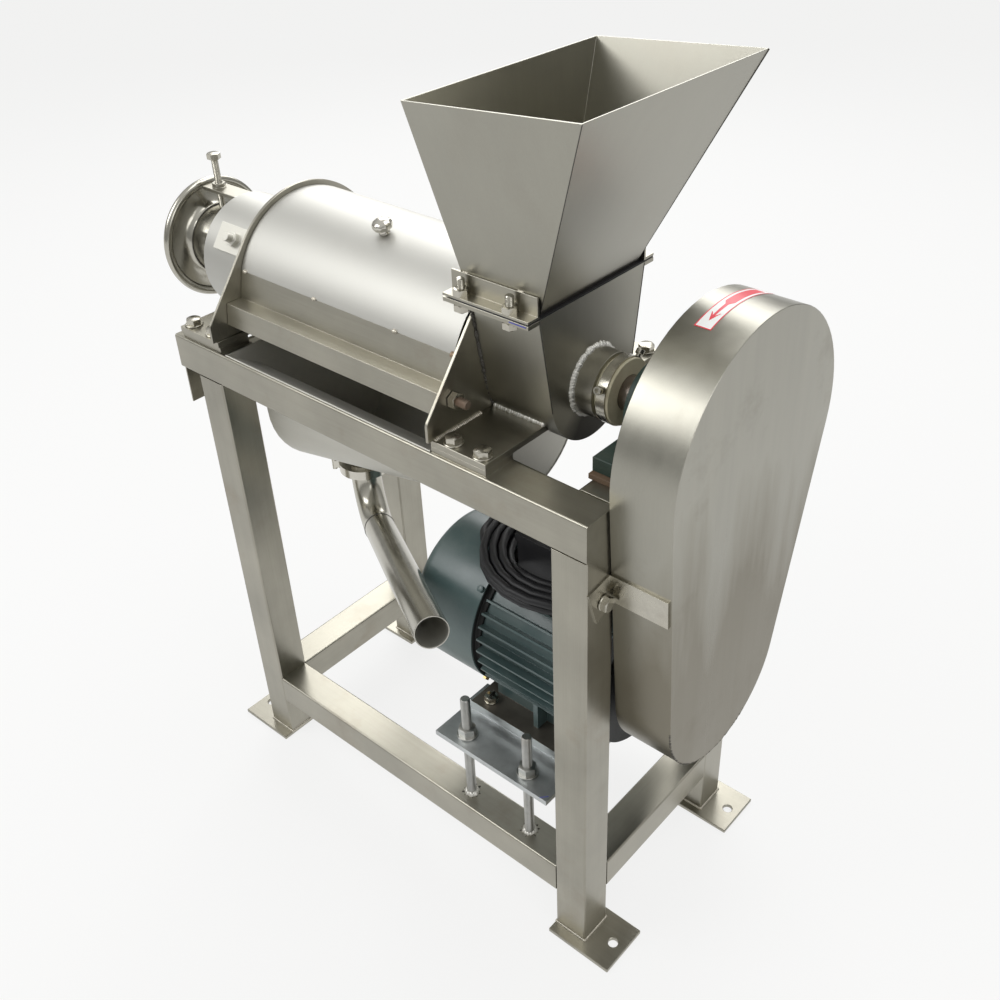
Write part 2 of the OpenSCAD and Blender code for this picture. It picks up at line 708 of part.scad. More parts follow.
module feed_screw() color(bright) {
  flight_r = barrel_r - flight_gap;
  steps = ceil(rings_per_turn*screw_l/flight_pitch);
  ring_loft(concat([screw_ring(screw_x0 - tail_l, 0, tail_r, tail_r + core_skin)],
    [for (i = [0:steps]) let (d = screw_l*i/steps, core = core_r_out + (core_r_feed - core_r_out)*d/screw_l)
      screw_ring(screw_x0 + d, -360*d/flight_pitch, core,
        min(flight_r, core + core_skin + (flight_r - core)*d/flight_lead))]));
}
module drive_shaft() color(bright) difference() {
  union() {
    turned_x([[0, screw_x1], [shaft_r, screw_x1], [shaft_r, bearing_x - inner_w/2], [journal_r, bearing_x - inner_w/2],
      [journal_r, shaft_end - over], [journal_r - over, shaft_end], [0, shaft_end]]);
    translate([pulley_x0, -key_w/2, axis_z]) cube([pulley_w, key_w, journal_r + key_out]);
  }
}

// Feed box and hopper
box_top_z = axis_z + box_top_h;
module box_outline(r, w, rise) {
  d = norm([w, box_top_h]);
  a = atan2(box_top_h, w) - acos(r/d);
  translate([0, axis_z]) circle(r = r);
  polygon([[r*cos(a), axis_z + r*sin(a)], [w, box_top_z], [w, box_top_z + rise], [-w, box_top_z + rise], [-w, box_top_z],
    [-r*cos(a), axis_z + r*sin(a)]]);
}
module feed_box() color(steel) difference() {
  along_x(box_x0, box_x1) box_outline(box_r, box_top_w, 0);
  along_x(box_x0 + box_t, box_x1 - box_face_t) box_outline(barrel_r, box_top_w - box_t, over);
  rod_x(box_x0 - over, box_x0 + 2*box_t, barrel_r);
  rod_x(box_x1 - 2*box_face_t, box_x1 + over, shaft_r + 2*hole_gap);
}
flange_x0 = press_x1 - flange_over;
lip_gap = 1.5;
bridge_x0 = press_x1 - hood_gap + lip_gap;
flange_bolt_inset = 21;
flange_bolt_pitch = 70;
flange_nut_af = 16;
hopper_z = box_top_z + gasket_t;
angle_back = 0.5;
angle_in_w = hopper_low_w + (hopper_rim_w - hopper_low_w)*flange_leg/hopper_h0 - angle_back;
flange_bolt_w = angle_in_w + angle_t + hole_gap + flange_nut_af/2;
module at_flange_bolts() for (s = [-1, 1], x = [flange_x0 + flange_bolt_inset, flange_x0 + flange_bolt_inset + flange_bolt_pitch])
  translate([x, s*flange_bolt_w, box_top_z]) children();
module lower_flanges() color(steel) difference() {
  union() {
    both_sides() translate([flange_x0, box_top_w, box_top_z - flange_t]) cube([box_x1 - flange_x0, flange_w, flange_t]);
    translate([bridge_x0, -box_top_w, box_top_z - flange_t]) cube([box_x0 - bridge_x0, 2*box_top_w, flange_t]);
  }
  at_flange_bolts() translate([0, 0, -flange_t - over]) cylinder(r = m10_r + hole_gap, h = flange_t + 2*over);
}
gasket_in = 0.5;
throat_w = hopper_low_w - hopper_t - over;
module flange_gasket() color(black) difference() {
  w = box_top_w + flange_w - gasket_in;
  translate([bridge_x0, -w, box_top_z]) cube([box_x1 - gasket_in - bridge_x0, 2*w, gasket_t]);
  translate([box_x0, -throat_w, box_top_z - over]) cube([box_l - 2*hopper_short, 2*throat_w, gasket_t + 2*over]);
  at_flange_bolts() translate([0, 0, -over]) cylinder(r = m10_r + hole_gap, h = gasket_t + 2*over);
}
module upper_flanges() color(steel) difference() {
  both_sides() {
    translate([flange_x0, angle_in_w, hopper_z]) cube([box_x1 - flange_x0, box_top_w + flange_w - angle_in_w, angle_t]);
    translate([flange_x0, angle_in_w, hopper_z]) cube([box_x1 - flange_x0, angle_t, flange_leg]);
  }
  hopper_solid(0);
  at_flange_bolts() translate([0, 0, gasket_t - over]) cylinder(r = m10_r + hole_gap, h = angle_t + 2*over);
}
flange_stud_over = 12;
module flange_bolts() color(bright) at_flange_bolts() {
  stud_reach = flange_t + m10_nut + bolt_reach/2;
  translate([0, 0, -stud_reach]) cylinder(r = m10_r, h = stud_reach + gasket_t + angle_t + m10_nut + flange_stud_over);
  translate([0, 0, gasket_t + angle_t]) hex(flange_nut_af, m10_nut);
  translate([0, 0, -flange_t - m10_nut]) hex(flange_nut_af, m10_nut);
}
hopper_x0 = press_x1 - hopper_over;
hopper_x1 = box_x1 - hopper_short;
function hopper_points(t) = concat(
  [for (c = [[0, -1], [1, -1], [1, 1], [0, 1]])
    [c[0] == 0 ? hopper_x0 + t : hopper_x1 - t, c[1]*(hopper_low_w - t), hopper_z]],
  [for (c = [[0, -1], [1, -1], [1, 1], [0, 1]])
    [c[0] == 0 ? hopper_x0 - hopper_back + t : hopper_x1 + hopper_out - t, c[1]*(hopper_rim_w - t),
     hopper_z + (c[0] == 0 ? hopper_h0 : hopper_h1)]]);
hopper_sides = [for (i = [0:3]) let (j = (i + 1)%4) each [[i, 4 + i, j], [j, 4 + i, 4 + j]]];
module hopper_solid(t) polyhedron(points = hopper_points(t), faces = concat(
  [[0, 1, 2], [0, 2, 3], [6, 5, 4], [7, 6, 4]], hopper_sides));
module hopper() color(steel) polyhedron(points = concat(hopper_points(0), hopper_points(hopper_t)),
  faces = concat(hopper_sides,
    [for (f = hopper_sides) [f[2] + 8, f[1] + 8, f[0] + 8]],
    [for (i = [0:3]) let (j = (i + 1)%4) each [[i, j, 8 + i], [j, 8 + j, 8 + i]]],
    [for (i = [4:7]) let (j = i == 7 ? 4 : i + 1) each [[j, i, 8 + i], [8 + j, j, 8 + i]]]));

// Shaft seal and bearing
pipe_in_r = 33;
bush_waist_r = 36;
bush_face_t = 4;
bush_gap = 6;
collar_l = 12;
collar_over = 0.5;
collar_x0 = box_x1 + hub_l + bush_gap;
module hub_pipe() color(steel) turned_x([[pipe_in_r, box_x1], [hub_r, box_x1], [hub_r, box_x1 + hub_l],
  [pipe_in_r, box_x1 + hub_l]]);
module shaft_bush() color(nylon) {
  face_x = collar_x0 + collar_l;
  bore = shaft_r + slide_gap;
  turned_x([[bore, box_x1], [pipe_in_r, box_x1], [pipe_in_r, box_x1 + hub_l], [bush_waist_r, box_x1 + hub_l],
    [bush_waist_r, face_x], [hub_r - over, face_x], [hub_r - over, face_x + bush_face_t], [bore, face_x + bush_face_t]]);
}
collar_angles = [157, 285, 45];
collar_pin_r = 3;
collar_head_r = 5;
collar_head_l = 7;
collar_head_gap = 2.5;
module gland_collar() color(zinc) difference() {
  turned_x([[bush_waist_r, collar_x0], [hub_r + collar_over, collar_x0], [hub_r + collar_over, collar_x0 + collar_l],
    [bush_waist_r, collar_x0 + collar_l]]);
  for (a = collar_angles) radial(a, collar_x0 + collar_l/2) cylinder(r = collar_pin_r + hole_gap, h = 2*hub_r);
}
module collar_screws() color(bright) for (a = collar_angles) radial(a, collar_x0 + collar_l/2)
  translate([0, 0, bush_waist_r]) {
    neck = hub_r + collar_over - bush_waist_r + collar_head_gap;
    cylinder(r = collar_pin_r, h = neck);
    translate([0, 0, neck]) difference() {
      cylinder(r = collar_head_r, h = collar_head_l);
      translate([0, 0, collar_head_l/2]) cylinder(r = collar_head_r/2, h = collar_head_l, $fn = 6);
    }
  }
module bearing_spacer() color([0.35, 0.27, 0.20]) difference() {
  translate([bearing_x - block_w/2, -spacer_l/2, frame_h]) cube([block_w, spacer_l, spacer_t]);
  for (s = [-1, 1]) translate([bearing_x, s*block_bolt_y, frame_h - over])
    cylinder(r = m12_r + hole_gap, h = spacer_t + 2*over);
}
block_foot_z = frame_h + spacer_t;
module pillow_block() color(dark_green) difference() {
  union() {
    rod_x(bearing_x - block_body_w/2, bearing_x + block_body_w/2, block_r);
    along_x(bearing_x - block_w/2, bearing_x + block_w/2) polygon([[-block_l/2, block_foot_z], [block_l/2, block_foot_z],
      [block_l/2, block_foot_z + block_foot_t], [-block_l/2, block_foot_z + block_foot_t]]);
    along_x(bearing_x - block_body_w/2, bearing_x + block_body_w/2) polygon([[-block_r, axis_z], [-block_r, block_foot_z],
      [block_r, block_foot_z], [block_r, axis_z]]);
  }
  rod_x(bearing_x - block_w, bearing_x + block_w, race_out_r);
  for (s = [-1, 1]) translate([bearing_x, s*block_bolt_y, block_foot_z - over])
    cylinder(r = m12_r + hole_gap, h = block_foot_t + 2*over);
}
module ring_x(x, w, r0, r1) turned_x([[r0, x - w/2], [r1, x - w/2], [r1, x + w/2], [r0, x + w/2]]);
module bearing_outer_ring() color(bright) ring_x(bearing_x, insert_w, race_in_r, race_out_r);
module bearing_balls() color(bright) for (i = [0:ball_count - 1])
  radial(360*i/ball_count, bearing_x) translate([0, 0, race_in_r - ball_r]) sphere(r = ball_r, $fn = 24);
module bearing_inner_ring() color(bright) ring_x(bearing_x, inner_w, journal_r, inner_race_r);

// Belt drive
function groove(x, r) = [[r, x - groove_top/2], [r - groove_deep, x - groove_low/2], [r - groove_deep, x + groove_low/2],
  [r, x + groove_top/2]];
module pulley(r, bore, hub, rim, key) difference() {
  x1 = pulley_x0 + pulley_w;
  side = (pulley_w - pulley_web_t)/2;
  dished = rim > hub;
  turned_x(concat([[bore, pulley_x0]],
    dished ? [[hub, pulley_x0], [hub, pulley_x0 + side], [rim, pulley_x0 + side], [rim, pulley_x0]] : [],
    [[r, pulley_x0]], groove(pulley_x0 + groove_edge, r), groove(pulley_x0 + groove_edge + groove_pitch, r), [[r, x1]],
    dished ? [[rim, x1], [rim, x1 - side], [hub, x1 - side], [hub, x1]] : [],
    [[bore, x1]]), 0);
  translate([pulley_x0 - over, -key_w/2 - key_gap, 0]) cube([pulley_w + 2*over, key_w + 2*key_gap, key]);
}
module screw_pulley() color(cast) translate([0, 0, axis_z])
  pulley(pulley_big_r, journal_r, pulley_hub_r, pulley_rim_r, journal_r + key_out + key_gap);
small_hub_r = 25;
module motor_pulley() color(cast) translate([0, 0, motor_z])
  pulley(pulley_small_r, motor_shaft_r, small_hub_r, small_hub_r, motor_shaft_r + key_out + key_gap);
module belt_layer(x, w, sink0, sink1) along_x(x - w/2, x + w/2) difference() {
  two_rounds([0, axis_z], pulley_big_r - sink0, [0, motor_z], pulley_small_r - sink0);
  two_rounds([0, axis_z], pulley_big_r - sink1, [0, motor_z], pulley_small_r - sink1);
}
module drive_belts() color(black) for (i = [0, 1]) {
  x = pulley_x0 + groove_edge + groove_pitch*i;
  belt_layer(x, belt_outer_w, belt_sink, belt_sink + belt_step);
  belt_layer(x, belt_inner_w, belt_sink + belt_step, belt_sink + belt_deep);
}

// Motor
front_x = stator_x1 + shield_front_t;
rotor_x0 = stator_x0 + rotor_inset;
rotor_x1 = stator_x1 - rotor_inset;
fan_x1 = fan_x0 + fan_l;
shoulder_r = 45;
module motor_shaft() color(bright) {
  seat_end = stator_x0 - shield_t + fit_gap;
  turned_x([[0, fan_x0 - over], [motor_tail_r, fan_x0 - over], [motor_tail_r, seat_end],
    [motor_seat_r, seat_end], [motor_seat_r, rotor_x0], [rotor_r, rotor_x0], [rotor_r, rotor_x1],
    [motor_seat_r, rotor_x1], [motor_seat_r, shoulder_x], [motor_shaft_r, shoulder_x],
    [motor_shaft_r, pulley_x0 + pulley_w], [0, pulley_x0 + pulley_w]], motor_z);
  translate([pulley_x0, -key_w/2, motor_z]) cube([pulley_w, key_w, motor_shaft_r + key_out]);
}
module stator_shape() {
  difference() {
    union() {
      translate([0, motor_z]) circle(r = stator_r);
      for (i = [0:fin_count - 1]) translate([0, motor_z]) rotate(360*i/fin_count)
        translate([stator_r - fin_t, -fin_t/2]) square([fin_h + fin_t, fin_t]);
    }
    translate([0, motor_z]) circle(r = rotor_r + rotor_gap);
  }
}
module motor_body() color(teal) difference() {
  union() {
    along_x(stator_x0, stator_x1) stator_shape();
    difference() {
      both_sides() {
        translate([motor_foot_x0, motor_foot_in, foot_z]) cube([motor_foot_l, motor_foot_y - motor_foot_in, motor_foot_t]);
        translate([stator_x0 + fin_t, web_y, foot_z]) cube([stator_l - 2*fin_t, web_t, motor_h/2]);
        translate([stator_x0 + stator_l/2 - rib_t, web_y, foot_z]) cube([rib_t, foot_bolt_y - web_y, motor_h/2]);
      }
      rod_x(stator_x0 - over, stator_x1 + over, stator_r - fin_t, 0, motor_z);
    }
    difference() {
      translate([seat_x0, -seat_l/2, motor_z]) cube([seat_l, seat_l, seat_rise]);
      rod_x(seat_x0 - over, seat_x0 + seat_l + over, stator_r - fin_t, 0, motor_z);
    }
  }
  at_foot_bolts() translate([0, 0, -over]) cylinder(r = m10_r + hole_gap, h = motor_foot_t + 2*over);
  translate([seat_x0 - fin_t, -seat_l/2 - fin_t, seat_top]) cube([seat_l + 2*fin_t, seat_l + 2*fin_t, fin_h]);
}
module at_foot_bolts() for (s = [-1, 1], x = [foot_bolt_x0, foot_bolt_x0 + foot_bolt_pitch])
  translate([x, s*foot_bolt_y, foot_z]) children();
module motor_shields() color(teal) {
  lip_r = fan_cover_r - fan_cover_t;
  rear_x = stator_x0 - shield_t;
  turned_x([[motor_seat_r + slide_gap, stator_x0], [motor_seat_r + slide_gap, rear_x],
    [motor_tail_r + slide_gap, rear_x], [motor_tail_r + slide_gap, rear_x - shield_lip_t], [lip_r, rear_x - shield_lip_t],
    [lip_r, rear_x], [shield_r, rear_x], [shield_r, stator_x0]], motor_z);
  turned_x([[motor_seat_r + slide_gap, stator_x1], [shield_r, stator_x1], [shield_r, front_x],
    [shield_cone_r, front_x], [shoulder_r, shoulder_x], [motor_seat_r + slide_gap, shoulder_x]], motor_z);
}
module fan_cover() color(teal) difference() {
  x1 = stator_x0 - shield_t;
  r = fan_cover_r;
  t = fan_cover_t;
  e = fan_cover_edge;
  turned_x(concat([for (i = [0:6]) let (a = 90*i/6) [r - e + e*sin(a), fan_cover_x0 + e - e*cos(a)]],
    [[r, x1], [r - t, x1]],
    [for (i = [6:-1:0]) let (a = 90*i/6) [r - e + (e - t)*sin(a), fan_cover_x0 + e - (e - t)*cos(a)]],
    [[0, fan_cover_x0 + t], [0, fan_cover_x0]]), motor_z);
  for (i = [0:grille_count - 1]) translate([fan_cover_x0 - over, 0, motor_z]) rotate([360*i/grille_count, 0, 0])
    translate([0, -grille_w/2, grille_r0]) cube([2*over + t, grille_w, grille_r1 - grille_r0]);
}
module cooling_fan() color(black) {
  turned_x([[motor_tail_r, fan_x0], [fan_hub_r, fan_x0], [fan_hub_r, fan_x1], [motor_tail_r, fan_x1]], motor_z);
  for (i = [0:fan_blades - 1]) translate([fan_x0, 0, motor_z]) rotate([360*i/fan_blades, 0, 0])
    translate([fan_blade_t, -fan_blade_t/2, fan_hub_r - over])
      cube([fan_l - 2*fan_blade_t, fan_blade_t, fan_r - fan_hub_r + over]);
}
lid_over = 2;
module terminal_box() color(teal) {
  difference() {
    translate([seat_x0, -seat_l/2, seat_top]) cube([seat_l, seat_l, tbox_h]);
    translate([seat_x0 + tbox_wall, -seat_l/2 + tbox_wall, seat_top + tbox_wall])
      cube([seat_l - 2*tbox_wall, seat_l - 2*tbox_wall, tbox_h]);
    translate([gland_x, seat_l/2 + over, cord_z]) rotate([90, 0, 0]) cylinder(r = gland_thread_r + hole_gap, h = tbox_wall + 2*over);
  }
  translate([seat_x0 - lid_over, -seat_l/2 - lid_over, seat_top + tbox_h])
    cube([seat_l + 2*lid_over, seat_l + 2*lid_over, tbox_lid]);
}

// Power cable: gland, a coil of two layers of four turns on top of the motor, and a plug
coil_x = seat_x0 + seat_l/2;
coil_y = 18;
coil_pitch = cable_d + 1;
coil_turns = 4;
coil_out_r = 122;
coil_in_r = coil_out_r - coil_pitch*(coil_turns - 1);
coil_lift = 1;
coil_z = motor_z + fan_cover_r + cable_d/2 + coil_lift/2;
coil_step = cable_d + coil_lift;
cord_top = coil_z + coil_step + cable_d + coil_lift;
gland_x = seat_x0 + seat_l/2;
gland_thread_r = 7;
gland_l = 21;
gland_af = 20;
cord_z = seat_top + tbox_h - gland_af/2;
coil_rings = 24;
coil_start = 215;
coil_rise = 60;
coil_last = 65;
coil_sides = 6;
function coil_r(t) = let (half = 360*(coil_turns - 1))
  t < half ? coil_out_r - coil_pitch*t/360 : t < half + coil_rise ? coil_in_r
    : coil_in_r + coil_pitch*(t - half - coil_rise)/360;
function coil_h(t) = let (half = 360*(coil_turns - 1), u = max(0, min(1, (t - half)/coil_rise)))
  coil_z + coil_step*u*u*(3 - 2*u);
function coil_point(t) = let (a = coil_start + t, r = coil_r(t))
  [coil_x + r*cos(a), coil_y + r*sin(a), coil_h(t)];
coil_end = 2*360*(coil_turns - 1) + coil_rise + coil_last;
coil_steps = round(coil_rings*coil_end/360);
coil_run = [for (i = [0:coil_steps]) coil_point(coil_end*i/coil_steps)];
function ahead(p, q, d) = q + d*unit(q - p);
coil_tangent_in = unit([sin(coil_start), -cos(coil_start), 0]);
coil_tangent_out = let (a = coil_start + coil_end) unit([-sin(a), cos(a), 0]);
coil_path = concat([coil_run[0] + cable_d*coil_tangent_in], coil_run, [coil_run[coil_steps] + cable_d*coil_tangent_out]);
module tube_along(path, r, sides) {
  n = len(path);
  frames = [for (i = [0:n - 1]) let (t = unit(path[min(n - 1, i + 1)] - path[max(0, i - 1)]),
    u = unit(cross([0, 0, 1], t)), v = cross(t, u)) [u, v]];
  polyhedron(points = [for (i = [0:n - 1], k = [0:sides - 1]) let (a = 360*k/sides)
      path[i] + r*(cos(a)*frames[i][0] + sin(a)*frames[i][1])],
    faces = concat([[for (k = [sides - 1:-1:0]) k]], [[for (k = [0:sides - 1]) (n - 1)*sides + k]],
      [for (i = [0:n - 2], k = [0:sides - 1]) let (a = i*sides + k, b = i*sides + (k + 1)%sides)
        each [[a, b, a + sides], [b, b + sides, a + sides]]]));
}
function bezier(p, q, r, s, u) = p*(1 - u)^3 + q*3*u*(1 - u)^2 + r*3*u*u*(1 - u) + s*u^3;
module cable_coil() color(black) tube_along(coil_path, cable_d/2, coil_sides);
gap_points = [for (i = [0:2:coil_steps]) for (j = [i + coil_rings - 4:coil_steps])
  if (norm(coil_run[i] - coil_run[j]) < 2*cable_d) norm(coil_run[i] - coil_run[j])];
echo(coil_gap = min(gap_points) - cable_d);

// Both free stretches: points chosen by hand between the coil's ends, the gland and the plug
plug_side = 125;
plug_far = 120;
plug_drop = 51;
plug_at = [coil_x - plug_side, coil_y + plug_far, coil_z - plug_drop];
plug_r = 19;
plug_l = 90;
gland_end = [gland_x, seat_l/2 + gland_l, cord_z];
gland_out = gland_end + [0, cable_d, 0];
stretch_steps = 20;
out_end = coil_path[len(coil_path) - 1];
in_end = coil_path[0];
function curve(a, ta, b, tb, k) = [for (i = [0:stretch_steps])
  bezier(a, a + k*ta, b - k*tb, b, i/stretch_steps)];
out_mid_angle = 20;
out_mid_r = coil_r(coil_end);
out_mid = [coil_x + out_mid_r*cos(out_mid_angle), coil_y + out_mid_r*sin(out_mid_angle), cord_z];
out_mid_dir = [-sin(out_mid_angle), cos(out_mid_angle), 0];
mid_side = 134;
mid_far = 36;
in_mid = [coil_x - mid_side, coil_y + mid_far, coil_z + coil_step];
in_mid_dir = unit([3, 20, 0.4]);
low_side = 131;
low_near = 30;
in_low = [coil_x - low_side, coil_y - low_near, coil_z];
in_low_dir = unit([-1, 5, 0]);
// How far each curve goes straight on at its two ends
rise_pull = 26;
gland_pull = 50;
foot_pull = 12;
climb_pull = 22;
fall_pull = 48;
module cable_stretch() color(black) {
  tube_along(concat(curve(out_end, coil_tangent_out, out_mid, out_mid_dir, rise_pull),
    [for (p = curve(out_mid, out_mid_dir, gland_out, [0, -1, 0], gland_pull)) if (p != out_mid) p],
    [gland_end + [0, slide_gap, 0]]), cable_d/2, 8);
  tube_along(concat(curve(in_end, coil_tangent_in, in_low, in_low_dir, foot_pull),
    [for (p = curve(in_low, in_low_dir, in_mid, in_mid_dir, climb_pull)) if (p != in_low) p],
    [for (p = curve(in_mid, in_mid_dir, plug_at, [0, 0, -1], fall_pull)) if (p != in_mid) p]), cable_d/2, 8);
}
module cable_gland() color(black) translate([gland_x, 0, cord_z]) rotate([-90, 0, 0]) {
  translate([0, 0, seat_l/2 - tbox_wall]) cylinder(r = gland_thread_r, h = gland_l + tbox_wall);
  translate([0, 0, seat_l/2]) hex(gland_af, gland_l/3);
  translate([0, 0, seat_l/2 + gland_l/2]) hex(gland_af, gland_l/3);
}
plug_neck = 18;
pin_r = 3;
pin_l = 24;
module cable_plug() color(black) translate(plug_at) rotate([180, 0, 0]) {
  cylinder(r1 = cable_d/2 + over, r2 = plug_r/2 + over, h = plug_neck);
  translate([0, 0, plug_neck]) cylinder(r = plug_r, h = plug_l - plug_neck - pin_l);
  for (i = [0:3]) rotate(90*i) translate([plug_r/2, 0, plug_l - pin_l]) cylinder(r = pin_r, h = pin_l);
}

// Motor plate
packing_x0 = motor_foot_x0 - packing_over;
module motor_plate() color(zinc) difference() {
  union() {
    translate([motor_plate_x0, -leg_y + motor_plate_gap, plate_top - motor_plate_t])
      cube([motor_plate_l, 2*(leg_y - motor_plate_gap), motor_plate_t]);
    both_sides() translate([packing_x0, packing_in, plate_top]) cube([motor_foot_l + packing_over, packing_w, packing_t]);
  }
  at_studs() translate([0, 0, low_rail_h]) cylinder(r = stud_r + 2*hole_gap, h = stud_l);
  at_foot_bolts() translate([0, 0, -packing_t - motor_plate_t - over])
    cylinder(r = m10_r + hole_gap, h = packing_t + motor_plate_t + 2*over);
}
module at_studs() for (s = [-1, 1], x = [stud_x0, stud_x0 + stud_pitch]) translate([x, s*stud_y, 0]) children();
module plate_studs() color(zinc) at_studs() {
  translate([0, 0, low_rail_h]) cylinder(r = stud_r, h = stud_l);
  translate([0, 0, low_rail_h]) cylinder(r1 = stud_r + stud_foot_h, r2 = stud_r, h = stud_foot_h);
  translate([0, 0, plate_top - motor_plate_t - nut_t]) hex(nut_af, nut_t);
}
module plate_nuts() at_studs() translate([0, 0, plate_top]) difference() {
  union() {
    cylinder(r = nut_washer_r, h = nut_washer_t);
    translate([0, 0, nut_washer_t]) hex(nut_af, nut_t);
  }
  translate([0, 0, -over]) cylinder(r = stud_r + hole_gap, h = nut_washer_t + nut_t + 2*over);
}
module motor_bolts() color(bright) {
  plate_nuts();
  at_foot_bolts() translate([0, 0, motor_foot_t]) {
    hex_bolt(m10_r, motor_foot_t + packing_t + motor_plate_t + m10_nut, m10_af, m10_nut, washer_small_r);
    translate([0, 0, -motor_foot_t - packing_t - motor_plate_t - m10_nut]) hex(m10_af, m10_nut);
  }
  for (a = cover_screw_angles) translate([stator_x0 - shield_t - shield_lip_t/2, 0, motor_z]) rotate([a, 0, 0])
    translate([0, 0, fan_cover_r]) cylinder(r = cover_screw_r, h = cover_screw_h);
}

// Belt guard
guard_arc_steps = 40;
module guard_outline(grow)
  polygon(rounds_outline(guard_top, guard_top_r + grow, guard_low, guard_low_r + grow, guard_arc_steps));
module guard_shell() color(steel) difference() {
  along_x(guard_x0, guard_x1) guard_outline(0);
  along_x(guard_x0 - over, guard_x1 - guard_t) guard_outline(-guard_t);
}
tab_skew = 8;
tab_edge_in = 1;
module guard_straps() color(steel) {
  for (s = [-1, 1]) along_x(guard_x0 + strap_inset, guard_x1 - strap_inset) intersection() {
    difference() {
      guard_outline(strap_t);
      guard_outline(0);
    }
    translate([s < 0 ? -2*guard_top_r : guard_top_y, strap_top_z - strap_w + over])
      square([2*guard_top_r + guard_top_y*(1 + s)/2, strap_w - 2*over]);
  }
  edge = guard_top_y - guard_top_r;
  difference() {
    union() {
      along_x(leg_x, guard_x0) polygon([[-leg_y + tab_edge_in, strap_top_z - tab_skew],
        [-leg_y + 2*tab_skew, strap_top_z - strap_w - 2*tab_skew], [edge + 2*tab_skew, strap_top_z - strap_w],
        [edge + 2*tab_skew, strap_top_z]]);
      along_x(leg_x, guard_x0) polygon([[rail_in + tab_skew, strap_top_z - strap_w], [leg_y + 2*strap_t, strap_top_z - strap_w],
        [leg_y + 2*strap_t, strap_top_z], [rail_in + tab_skew, strap_top_z]]);
      for (s = [-1, 1]) along_x(leg_x, guard_x0 + strap_inset) intersection() {
        difference() {
          guard_outline(strap_t);
          guard_outline(hole_gap/3);
        }
        translate([s < 0 ? -2*guard_top_r : guard_top_y, strap_top_z - strap_w + over])
          square([2*guard_top_r + guard_top_y*(1 + s)/2, strap_w - 2*over]);
      }
    }
    for (s = [-1, 1]) translate([leg_x - over, s*(leg_y - strap_bolt_edge), strap_top_z - strap_bolt_low])
      rotate([0, 90, 0]) cylinder(r = m10_r + hole_gap, h = guard_back + 2*over);
  }
}

// Outlet
sleeve_x1 = press_x0 - plate_t;
sleeve_x0 = sleeve_x1 - sleeve_l;
end_ring_t = 8;
neck_gap = 0.05;
bolt_top_gap = 0.3;
flare_x = sleeve_x0 - neck_show;
module outlet_sleeve() color(blasted) turned_x([[sleeve_r - sleeve_t, sleeve_x1], [sleeve_r, sleeve_x1],
  [sleeve_r, sleeve_x0], [neck_r + neck_gap, sleeve_x0], [neck_r + neck_gap, sleeve_x0 + end_ring_t],
  [sleeve_r - sleeve_t, sleeve_x0 + end_ring_t]]);
notch_angle = 151;
notch_w = 6;
notch_l = 20;
flare_steps = 8;
module outlet_horn() color(bright) difference() {
  r0 = neck_r - neck_t;
  union() {
    turned_x(concat([[r0, sleeve_x0 + neck_in], [neck_r, sleeve_x0 + neck_in]],
      [for (i = [0:flare_steps]) let (a = 90*i/flare_steps)
        [rim_r - (rim_r - neck_r)*cos(a), flare_x - flare_l*sin(a)]],
      [for (i = [flare_steps:-1:0]) let (a = 90*i/flare_steps)
        [rim_r - (rim_r - r0)*cos(a), flare_x - (flare_l + neck_t)*sin(a)]]));
    translate([0, 0, axis_z]) rotate([0, 90, 0]) rotate_extrude()
      translate([rim_r, flare_x - flare_l]) circle(r = rim_roll, $fn = 32);
  }
  radial(notch_angle, flare_x + 2*notch_l) translate([-notch_l/2, -notch_w/2, r0 - over])
    cube([notch_l, notch_w, neck_t + 2*over]);
}
lock_x = sleeve_x0 - 53;
lock_r = 5;
lock_bar_t = 5;
lock_bar_w = 28;
lock_bar_over = 20;
lock_bar_drop = 1;
lock_nut_t = 6;
lock_head_t = 8;
lock_l = 72;
lock_bar_top = axis_z + sleeve_r - lock_bar_drop;
gusset_l = 22;
gusset_t = 4;
module lock_bracket() color(steel) difference() {
  union() {
    translate([lock_x - lock_bar_over, -lock_bar_w/2, lock_bar_top - lock_bar_t])
      cube([sleeve_x0 - lock_x + lock_bar_over, lock_bar_w, lock_bar_t]);
    along_y(-gusset_t/2, gusset_t/2) polygon([[sleeve_x0, lock_bar_top - lock_bar_t],
      [sleeve_x0 - gusset_l, lock_bar_top - lock_bar_t], [sleeve_x0, lock_bar_top - lock_bar_t - gusset_l]]);
    translate([lock_x, 0, lock_bar_top]) hex(m10_af, lock_nut_t);
  }
  translate([lock_x, 0, lock_bar_top - lock_bar_t - over]) cylinder(r = lock_r + hole_gap, h = tube);
}
module lock_bolt() color(bright) translate([lock_x, 0, axis_z + neck_r + bolt_top_gap]) {
  cylinder(r = lock_r, h = lock_l);
  translate([0, 0, lock_l]) hex(m10_af, lock_head_t);
}
side_angle = 143;
side_stud_angle = 133;
side_l = 57;
side_w = 38;
side_t = 5;
side_stud_l = 18;
module side_lock() color(steel) {
  side_x = sleeve_x0 + 2*end_ring_t + side_l/2 + side_l/5;
  difference() {
    radial(side_angle, side_x) translate([-side_l/2, -side_w/2, sleeve_r - side_t])
      cube([side_l, side_w, 2*side_t]);
    rod_x(sleeve_x0, sleeve_x1, sleeve_r);
  }
  radial(side_angle, side_x + side_l/6) translate([0, 0, sleeve_r + side_t]) {
    hex(m12_af, m10_nut);
    cylinder(r = m12_r, h = side_stud_l);
  }
}
apron_t = 2;
apron_h = 56;
apron_inset = 3;
module residue_apron() color(steel)
  translate([-leg_x - rail_over + apron_inset, -leg_y + apron_inset, frame_h - tube - apron_h])
    cube([apron_t, frame_w - 2*apron_inset, apron_h]);

